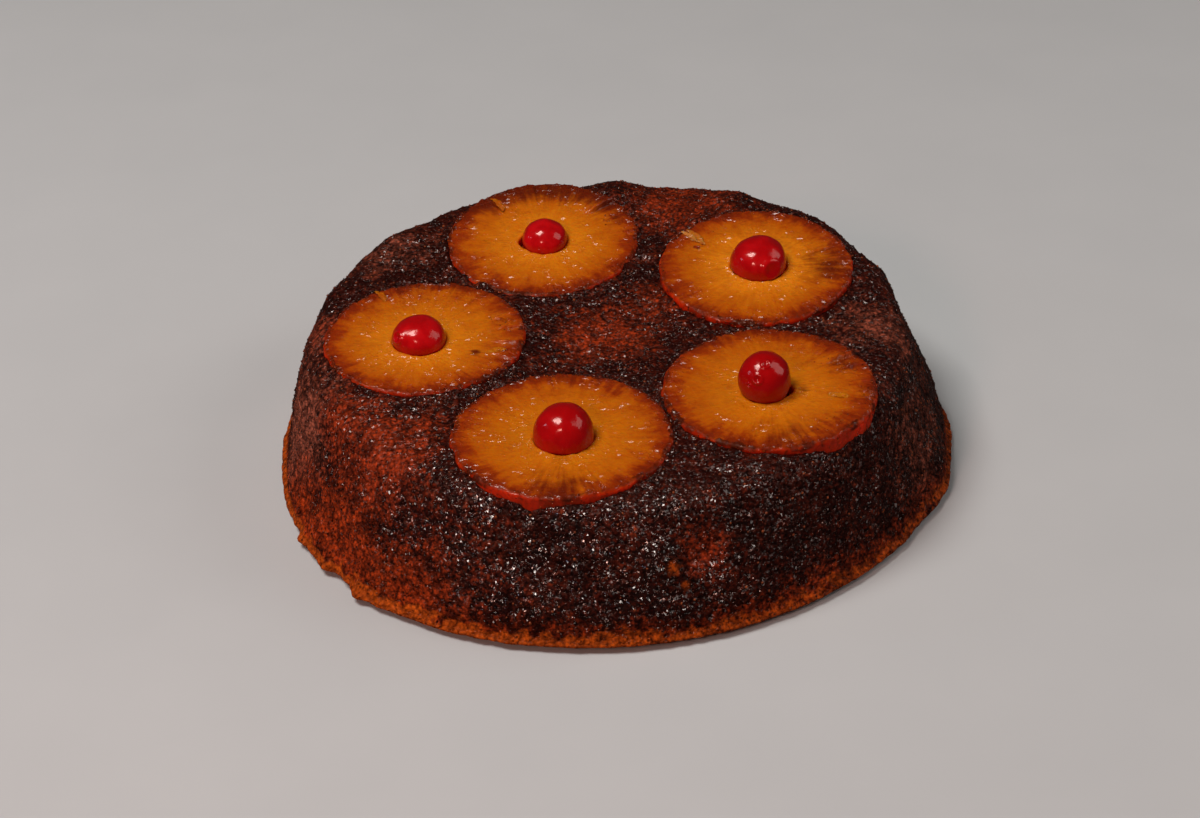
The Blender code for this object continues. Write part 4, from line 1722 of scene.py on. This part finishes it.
    def build(self) -> bpy.types.Mesh:
        """Makes the crust's closed skin, with what its trees and its finish read.

        Returns:
            The mesh.
        """
        azimuth, share = self.top_grid()
        outward = directions(azimuth)
        shoulder_in = around(self.top_outline, azimuth) - self.shoulder
        top = self.roughened(self.on_top(outward, share * shoulder_in), outward, 0.0)
        width = 2 * self.top_rows + 1
        grid = np.arange(width * width).reshape(width, width)
        corners = (grid[:-1, :-1], grid[1:, :-1], grid[1:, 1:], grid[:-1, 1:])
        faces = list(zip(*(corner.ravel().tolist() for corner in corners)))
        rim = np.flatnonzero(share > 1 - 0.5 / self.top_rows)
        rim = rim[np.argsort(azimuth[rim])]
        sides = self.side_sections(azimuth[rim])
        first = width * width
        below = first + np.arange(len(sides) * self.steps).reshape(len(sides), self.steps)
        loops = [rim, *below]
        faces += belt_faces(loops)
        faces.append(tuple(int(v) for v in loops[-1][::-1]))
        points, bare = self.pockets(np.concatenate((top, *sides)))
        rough = bare * (0.35 + 0.65 * smoothstep((points[:, 2] - self.lip_under) / (6 * MM)))
        rough[-self.steps:] = 0.0
        mesh = make_mesh("cake", points + AXIS, faces)
        store(mesh, {Layer.ROUGH: rough, **self.baked(points + AXIS, bare)})
        return mesh

    def baked(self, points: np.ndarray, bare: np.ndarray) -> dict[Enum, np.ndarray]:
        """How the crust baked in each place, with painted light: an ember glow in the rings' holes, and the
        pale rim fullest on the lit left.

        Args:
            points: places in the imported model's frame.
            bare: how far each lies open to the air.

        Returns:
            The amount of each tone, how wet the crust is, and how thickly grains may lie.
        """
        tones: dict[Enum, np.ndarray] = {tone: np.zeros(len(points)) for tone in Tone}

        def add(tone: Tone, amount: np.ndarray) -> None:
            """Raises a tone to this amount where it is less."""
            tones[tone] = np.maximum(tones[tone], amount)

        edge = self.patch_edge.at(points)
        for patch in self.patches:
            middle = np.array((patch.x, patch.y, patch.z))
            away = np.linalg.norm(points - middle, axis=1) / patch.radius
            add(patch.tone, patch.amount * np.exp(-((away * (1.0 + edge)) ** 2)))
        azimuth = np.arctan2(points[:, 1], points[:, 0])
        ragged = self.rim_height + self.rim_speckle.at(points) + self.rim_climb * np.maximum(edge, 0.0)
        height = points[:, 2] - ragged
        # Painted light: the pale rim is painted fullest on the left, the lit side, and at 0.55 of that on
        # the right.
        shade = 0.55 + 0.45 * smoothstep(0.5 - 0.8 * np.cos(azimuth))
        add(Tone.SPONGE, self.sponge_most * smoothstep(1.0 - height / self.sponge_fade))
        add(Tone.RIM, shade * smoothstep(1.0 - height / self.rim_fade))
        # Painted glow: the crust in and round each ring's hole, in shade beside the cherry, is painted
        # ember red.
        for ring in self.rings:
            hole = ring.to_frame(np.array((ring.hole_x, ring.hole_y, -self.hole_depth)))
            away = np.linalg.norm(points - hole, axis=1) / self.hole_glow
            add(Tone.EMBER, self.glow_most * np.exp(-(away**4)))
        turn = (azimuth - math.radians(self.wet_azimuth)) / math.radians(self.wet_spread)
        reach = np.hypot(points[:, 0], points[:, 1])
        front = np.exp(-(turn**2)) * smoothstep((reach - self.wet_from) / self.wet_fade)
        wet = self.wet_least + (1 - self.wet_least) * front
        return {
            **tones, Layer.WET: wet * smoothstep(points[:, 2] / self.wet_rise),
            Layer.SPRINKLE: bare * smoothstep((points[:, 2] - 4 * MM) / (8 * MM)),
        }


# Trees.


def crust_relief() -> Recipe:
    """Lumps, grains and pits over the crust, along its normals, which also keep where pits are.

    Returns:
        The recipe.
    """
    recipe = Recipe(
        "crust relief",
        {
            "Lump Size": 5.0 * MM, "Lump Height": 0.9 * MM,
            "Grain Size": 2.2 * MM, "Grain Height": 0.5 * MM,
            "Pit Size": 3.4 * MM, "Pit Depth": 0.9 * MM, "Pit Patch": 9 * MM, "Seed": 4,
        },
    )
    warp_size, warp_reach = 6 * MM, 1.2 * MM
    pit_span, patch_span = (0.38, 0.05), (0.42, 0.62)
    graph, given = recipe.graph, recipe.given
    position = graph.node("GeometryNodeInputPosition").outputs[0]
    place = graph.vector("ADD", position, graph.combine(given["Seed"], given["Seed"]))
    loose = graph.warped(place, warp_size, warp_reach)
    lumps = graph.math("SUBTRACT", 0.5, graph.cells(given["Lump Size"], loose, "SMOOTH_F1"))
    grains = graph.math("SUBTRACT", 0.5, graph.cells(given["Grain Size"], loose))
    pits = graph.ease(graph.cells(given["Pit Size"], loose), *pit_span)
    pits = graph.product(pits, graph.ease(graph.noise(given["Pit Patch"], place, 2.0), *patch_span))
    height = graph.total(
        graph.product(lumps, given["Lump Height"]),
        graph.product(grains, given["Grain Height"]),
        graph.product(pits, given["Pit Depth"], -1.0),
    )
    kept = graph.node(
        "GeometryNodeStoreNamedAttribute",
        {"Geometry": given["Geometry"], "Name": Layer.PIT.value, "Value": pits},
        data_type="FLOAT", domain="POINT",
    ).outputs[0]
    recipe.close_moved(kept, height)
    return recipe


def fibre_relief() -> Recipe:
    """Radial fibres and dimples over a pineapple ring.

    Returns:
        The recipe.
    """
    sizes = {
        "Fibre Depth": 0.15 * MM, "Fibres": 18.0, "Waves": 1.5,
        "Dimple Size": 4.0 * MM, "Dimple Depth": 0.3 * MM,
    }
    recipe = Recipe("fibre relief", sizes)
    graph, given = recipe.graph, recipe.given
    fibre = recipe.layer(Layer.FIBRE, "FLOAT_VECTOR")
    stretch = graph.combine(given["Fibres"], given["Fibres"], given["Waves"])
    threads = graph.noise(1.0, graph.vector("MULTIPLY", fibre, stretch), 3.0)
    position = graph.node("GeometryNodeInputPosition").outputs[0]
    dimples = graph.noise(given["Dimple Size"], position, 2.0)
    height = graph.total(
        graph.product(graph.total(threads, -0.5), given["Fibre Depth"]),
        graph.product(graph.total(dimples, -0.5), given["Dimple Depth"]),
    )
    recipe.close_moved(given["Geometry"], height)
    return recipe


def scatter() -> Recipe:
    """Small uneven lumps strewn over a surface, each a few faces.

    Returns:
        The recipe.
    """
    recipe = Recipe(
        "scatter",
        {
            "Density": 50000.0, "Smallest": 0.3 * MM, "Largest": 0.7 * MM, "Flatness": 0.0,
            "Tumble": 1.0, "Sides": 5, "Seed": 1,
        },
    )
    graph, given = recipe.graph, recipe.given
    spread = graph.node(
        "GeometryNodeDistributePointsOnFaces",
        {
            "Mesh": given["Geometry"], "Seed": given["Seed"],
            "Density": graph.product(given["Density"], recipe.layer(Layer.SPRINKLE)),
        },
    )
    lump = graph.node(
        "GeometryNodeMeshUVSphere", {"Segments": given["Sides"], "Rings": 3, "Radius": 1.0}
    ).outputs[0]
    turn = graph.node(
        "FunctionNodeRandomValue",
        {0: (0.0, 0.0, 0.0), 1: (math.tau, math.tau, math.tau), "Seed": given["Seed"]},
        data_type="FLOAT_VECTOR",
    ).outputs[0]
    tumble = graph.combine(given["Tumble"], given["Tumble"], 1.0)
    turn = graph.node("FunctionNodeEulerToRotation", {0: graph.vector("MULTIPLY", turn, tumble)})
    turn = graph.node(
        "FunctionNodeRotateRotation",
        {"Rotation": spread.outputs["Rotation"], "Rotate By": turn.outputs[0]},
        rotation_space="LOCAL",
    ).outputs[0]
    ends = [graph.combine(*(given[end],) * 3) for end in ("Smallest", "Largest")]
    size = graph.node(
        "FunctionNodeRandomValue",
        {0: ends[0], 1: ends[1], "Seed": graph.math("ADD", given["Seed"], 1.0)},
        data_type="FLOAT_VECTOR",
    ).outputs[0]
    squash = graph.combine(1.0, 1.0, graph.math("SUBTRACT", 1.0, given["Flatness"]))
    placed = graph.node(
        "GeometryNodeInstanceOnPoints",
        {
            "Points": spread.outputs["Points"], "Instance": lump, "Rotation": turn,
            "Scale": graph.vector("MULTIPLY", size, squash),
        },
    ).outputs[0]
    recipe.close(placed)
    return recipe


# Studio.


@dataclass(frozen=True)
class Softbox:
    """A square area light that looks at the cake."""

    name: str
    toward: Triple
    distance: float
    size: float
    power: float
    colour: Colour = (1.0, 1.0, 1.0)

    def build(self, target: Vector) -> None:
        """Hangs the light.

        Args:
            target: the place it shines on.
        """
        lamp = bpy.data.lights.new(self.name, "AREA")
        lamp.shape = "SQUARE"
        lamp.size = self.size
        lamp.energy = self.power
        lamp.color = self.colour
        obj = bpy.data.objects.new(self.name, lamp)
        way = Vector(self.toward).normalized()
        obj.location = target + way * self.distance
        obj.rotation_euler = way.to_track_quat("Z", "Y").to_euler()
        bpy.context.scene.collection.objects.link(obj)


@dataclass(frozen=True)
class Studio:
    """Pale floor, soft light and the camera at the photograph's angle."""

    camera_place: Triple = (-1.496 * MM, -820.678 * MM, 560.370 * MM)
    camera_right: Triple = (0.99972, -0.00866, -0.02204)
    camera_up: Triple = (0.02316, 0.55152, 0.83384)
    lens_mm: float = 75.0
    nearest: float = 10 * MM
    floor_reach: float = 9.0
    floor_drop: float = 0.1 * MM
    world_colour: Colour = (1.0, 0.88, 0.80)
    world_light: float = 0.028
    target: Triple = (0.0, 0.0, 30 * MM)
    softboxes: tuple[Softbox, ...] = (
        Softbox("key", (-0.41, -0.10, 0.90), 2.00, 0.74, 29.0, (1.0, 0.89, 0.82)),
        Softbox("front", (-0.35, -0.75, 0.55), 1.30, 0.22, 3.4, (1.0, 0.56, 0.46)),
        Softbox("right", (0.80, -0.02, 0.58), 1.40, 0.90, 4.6, (1.0, 0.90, 0.84)),
        Softbox("left", (-0.93, -0.05, 0.36), 1.30, 0.12, 0.35, (0.66, 0.76, 1.0)),
    )

    def build(self) -> None:
        """Sets the stage, the lights, the world and the camera."""
        reach, z = self.floor_reach, -self.floor_drop
        corners = np.array(((-reach, -reach, z), (reach, -reach, z), (reach, reach, z), (-reach, reach, z)))
        floor = link_object("floor", make_mesh("floor", corners, [(0, 1, 2, 3)]))
        floor.data.materials.append(FloorFinish().make())
        floor.visible_glossy = False
        for softbox in self.softboxes:
            softbox.build(Vector(self.target))
        world = bpy.data.worlds.new("studio")
        world.use_nodes = True
        background = world.node_tree.nodes["Background"]
        background.inputs["Color"].default_value = (*self.world_colour, 1.0)
        background.inputs["Strength"].default_value = self.world_light
        bpy.context.scene.world = world
        bpy.context.scene.view_settings.view_transform = "Standard"
        self.place_camera()

    def place_camera(self) -> None:
        """Puts the camera where the photograph was taken from."""
        right, up = Vector(self.camera_right), Vector(self.camera_up)
        turn = Matrix((right, up, right.cross(up))).transposed().to_4x4()
        data = bpy.data.cameras.new("camera")
        data.lens = self.lens_mm
        data.clip_start = self.nearest
        camera = bpy.data.objects.new("camera", data)
        camera.matrix_world = Matrix.Translation(Vector(self.camera_place)) @ turn
        bpy.context.scene.collection.objects.link(camera)
        bpy.context.scene.camera = camera


# The cake.

RINGS = (
    PineappleRing(
        "back_left", -24.4 * MM, 60.4 * MM, 61.7 * MM, 0.9, 6.4, 38.7 * MM, 1.2 * MM,
        11.2 * MM, 0.4 * MM, -1.8 * MM,
        Cherry(0.5 * MM, -0.6 * MM, 1.0 * MM, 9.2 * MM, 7.6 * MM, 7.4 * MM, 0.03, 200, 1.0),
        flakes=(
            Flake(-19 * MM, 24 * MM, -62, 11 * MM, 2.6 * MM, 0.3 * MM, 0.6, 0.65),
        ),
        folds=(
            Fold(40, 0.45, 2.0 * MM, 1.0 * MM), Fold(67, 0.55, 0.7 * MM, 0.3 * MM, 9),
            Fold(96, 0.6, 0.5 * MM, 0.3 * MM, 8), Fold(131, 0.5, 0.7 * MM, 0.4 * MM, 9),
        ),
        blemishes=(Blemish(31 * MM, 12 * MM, 8 * MM, 0.55, 0.35),),
        number=0, gap_azimuth=187.0, gap_share=0.6, pale=0.35, back_brown=2.1, back_reach=0.68,
    ),
    PineappleRing(
        "back_right", 60.1 * MM, 35.8 * MM, 61.1 * MM, 0.5, 5.7, 38.3 * MM, 3.0 * MM,
        12.0 * MM, 1.2 * MM, 0.0,
        Cherry(
            0.2 * MM, -0.2 * MM, 1.2 * MM, 11.4 * MM, 10.1 * MM, 8.0 * MM, 0.05, -40, 2.0, 0.86,
            (Bubble((0.35, -0.75, 0.25), 3.6 * MM, 0.5 * MM),), 0.3,
        ),
        flakes=(
            Flake(-25.8 * MM, 20.6 * MM, -50, 9 * MM, 2.4 * MM, 0.3 * MM, 1.35, 0.55),
            Flake(-23.4 * MM, 20.0 * MM, -62, 12 * MM, 2.6 * MM, 0.5 * MM, 1.15, 0.55),
            Flake(-22.2 * MM, 16.6 * MM, -38, 7 * MM, 1.8 * MM, 0.3 * MM, 1.5, 0.55),
            Flake(-23.0 * MM, 13.0 * MM, -50, 3 * MM, 2.2 * MM, 0.2 * MM, 0.0, 1.30),
        ),
        folds=(Fold(18, 0.4, 0.5 * MM, 0.3 * MM, 8), Fold(5, 0.5, 0.4 * MM, 0.3 * MM, 8)),
        blemishes=(Blemish(31 * MM, -2 * MM, 14 * MM, 0.76, 0.1),),
        number=1, pale=0.75, back_brown=0.8,
    ),
    PineappleRing(
        "left", -69.0 * MM, -6.5 * MM, 57.9 * MM, 0.6, 1.6, 38.7 * MM, 1.2 * MM,
        11.4 * MM, -1.6 * MM, -3.4 * MM,
        Cherry(
            -0.3 * MM, -0.4 * MM, 1.0 * MM, 10.5 * MM, 8.4 * MM, 7.8 * MM, 0.06, 230, 3.0, 0.84,
            (Bubble((-0.72, -0.45, 0.40), 2.2 * MM, 0.6 * MM),), 0.15,
        ),
        blemishes=(
            Blemish(20 * MM, -12.5 * MM, 2.3 * MM, 1.1),
            Blemish(32 * MM, 8 * MM, 6 * MM, 0.5, 0.45),
            Blemish(34 * MM, -6 * MM, 4 * MM, 0.4, 0.35),
        ),
        flakes=(
            Flake(-19 * MM, 29 * MM, -60, 9 * MM, 2.6 * MM, 0.3 * MM, 0.7, 0.60),
            Flake(28 * MM, -12 * MM, 10, 7 * MM, 3.0 * MM, 0.3 * MM, 0.6, 0.45),
        ),
        folds=(
            Fold(74, 0.6, 0.7 * MM, 0.4 * MM, 9), Fold(20, 0.6, 0.8 * MM, 0.5 * MM, 8),
            Fold(6, 0.55, 0.7 * MM, 0.5 * MM, 8), Fold(-12, 0.5, 0.6 * MM, 0.4 * MM, 8),
            Fold(-28, 0.6, 0.5 * MM, 0.4 * MM, 8),
        ),
        number=2, pale=0.3, back_brown=1.0, back_reach=0.40,
    ),
    PineappleRing(
        "front_right", 60.3 * MM, -46.0 * MM, 56.8 * MM, 0.7, 0.9, 40.0 * MM, 2.2 * MM,
        11.4 * MM, -0.3 * MM, -1.6 * MM,
        Cherry(
            -1.6 * MM, -1.2 * MM, 5.2 * MM, 9.9 * MM, 10.4 * MM, 10.2 * MM, 0.03, 15, 4.0,
            bubbles=(
                Bubble((0.0, -0.42, 0.90), 1.4 * MM), Bubble((-0.32, -0.79, 0.52), 1.6 * MM),
                Bubble((-0.64, -0.73, 0.23), 0.8 * MM),
            ),
            dark=0.75, steps=200, rows=140,
        ),
        blemishes=(
            Blemish(29 * MM, 15 * MM, 8 * MM, 0.62, 0.42), Blemish(37 * MM, -6 * MM, 7 * MM, 0.6, 0.45),
            Blemish(17 * MM, 12 * MM, 5 * MM, 0.35, 0.15), Blemish(12.5 * MM, -3 * MM, 3 * MM, 0.6),
            Blemish(-1 * MM, -14.5 * MM, 6 * MM, 0.25, 0.1), Blemish(22 * MM, -26 * MM, 9 * MM, 0.4, 0.2),
            Blemish(4 * MM, -35 * MM, 15 * MM, 0.62),
        ),
        flakes=(Flake(24 * MM, -8 * MM, -12, 9 * MM, 3.0 * MM, 0.3 * MM, 0.7, 0.40),),
        folds=(
            Fold(32, 0.5, 0.9 * MM, 0.7 * MM, 9), Fold(20, 0.6, 0.7 * MM, 0.7 * MM, 7),
            Fold(2, 0.7, 0.6 * MM, 0.6 * MM, 6), Fold(-9, 0.7, 0.6 * MM, 0.6 * MM, 6),
        ),
        number=3, gap_azimuth=-12.0, gap_share=0.5, pale=0.15,
    ),
    PineappleRing(
        "front", -16.4 * MM, -70.9 * MM, 54.9 * MM, 0.0, -0.2, 40.6 * MM, 1.6 * MM,
        11.7 * MM, 0.4 * MM, -3.2 * MM,
        Cherry(0.6 * MM, -0.3 * MM, 1.0 * MM, 11.2 * MM, 12.2 * MM, 7.4 * MM, 0.04, -35, 5.0, 0.82,
               dark=0.55),
        blemishes=(Blemish(0.0, -40 * MM, 17 * MM, 0.80), Blemish(0.0, -15 * MM, 7 * MM, 0.48, 0.2)),
        number=4,
    ),
)


@dataclass
class Cake:
    """The whole cake, dressed piece by piece."""

    rings: Sequence[PineappleRing] = RINGS

    def enter(self, obj: bpy.types.Object, node: str | None = None) -> None:
        """Hangs a finished piece on the cake's body, hides the solid that it replaces, and logs its
        triangles.

        Args:
            obj: the piece.
            node: the node it stands for, if any.
        """
        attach(obj, BODY)
        if node:
            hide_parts(node)
        obj.data.calc_loop_triangles()
        log.info("%s: %d triangles", obj.name, len(obj.data.loop_triangles))

    def build_crust(self) -> bpy.types.Object:
        """Builds the crust in place of the sponge's solid.

        Returns:
            The crust.
        """
        values = {"Material": CrustFinish().make()}
        crust = crust_relief().grow("caramel_crust", Crust(self.rings).build(), values)
        self.enter(crust, "cake")
        return crust

    def build_grains(self, crust: bpy.types.Object) -> None:
        """Strews sugar grains and crumbs over the crust.

        Args:
            crust: the surface they lie on.
        """
        strew = scatter()
        sugar = CrustFinish(
            name="sugar grain", char=(0.030, 0.006, 0.003), caramel=(0.130, 0.024, 0.009),
            sugar_depth=0.2 * MM, flake_size=0.5 * MM,
        )
        crumbs = GrainFinish("crumb", (0.09, 0.016, 0.006), (0.26, 0.060, 0.016), (0.4, 0.6))
        for name, finish, values in (
            ("caramel_grains", sugar, {"Density": 105000.0, "Smallest": 0.22 * MM,
                                       "Largest": 0.55 * MM, "Seed": 11}),
            ("crust_crumbs", crumbs, {"Density": 16000.0, "Smallest": 0.25 * MM,
                                      "Largest": 0.7 * MM, "Seed": 23}),
        ):
            values["Material"] = finish.make()
            self.enter(strew.grow(name, crust.data, values))

    def build_fruit(self) -> None:
        """Builds the rings and cherries in place of their solids."""
        flesh, skin, syrup = FleshFinish().make(), CherryFinish().make(), SyrupFinish().make()
        fibres, strew = fibre_relief(), scatter()
        for ring in self.rings:
            fruit = fibres.grow(f"ring_{ring.name}", ring.build(self.rings), {"Material": flesh})
            self.enter(fruit, f"pineapple_ring_{ring.name}")
            crumbs = {
                "Density": 300000.0, "Smallest": 0.18 * MM, "Largest": 0.50 * MM,
                "Flatness": 0.2, "Tumble": 0.3, "Seed": 40 + ring.number, "Material": syrup,
            }
            self.enter(strew.grow(f"sugar_{ring.name}", fruit.data, crumbs))
            for index, flake in enumerate(ring.flakes):
                shred = link_object(f"flake_{ring.name}_{index}", flake.build(ring))
                shred.data.materials.append(flesh)
                self.enter(shred)
            cherry = link_object(f"fruit_cherry_{ring.name}", ring.cherry.build(ring))
            cherry.data.materials.append(skin)
            self.enter(cherry, f"cherry_{ring.name}")


def main() -> None:
    """Builds the studio and the cake, in order."""
    logging.basicConfig(level=logging.INFO, format="%(message)s")
    Studio().build()
    cake = Cake()
    crust = cake.build_crust()
    cake.build_grains(crust)
    cake.build_fruit()


if __name__ == "__main__":
    main()
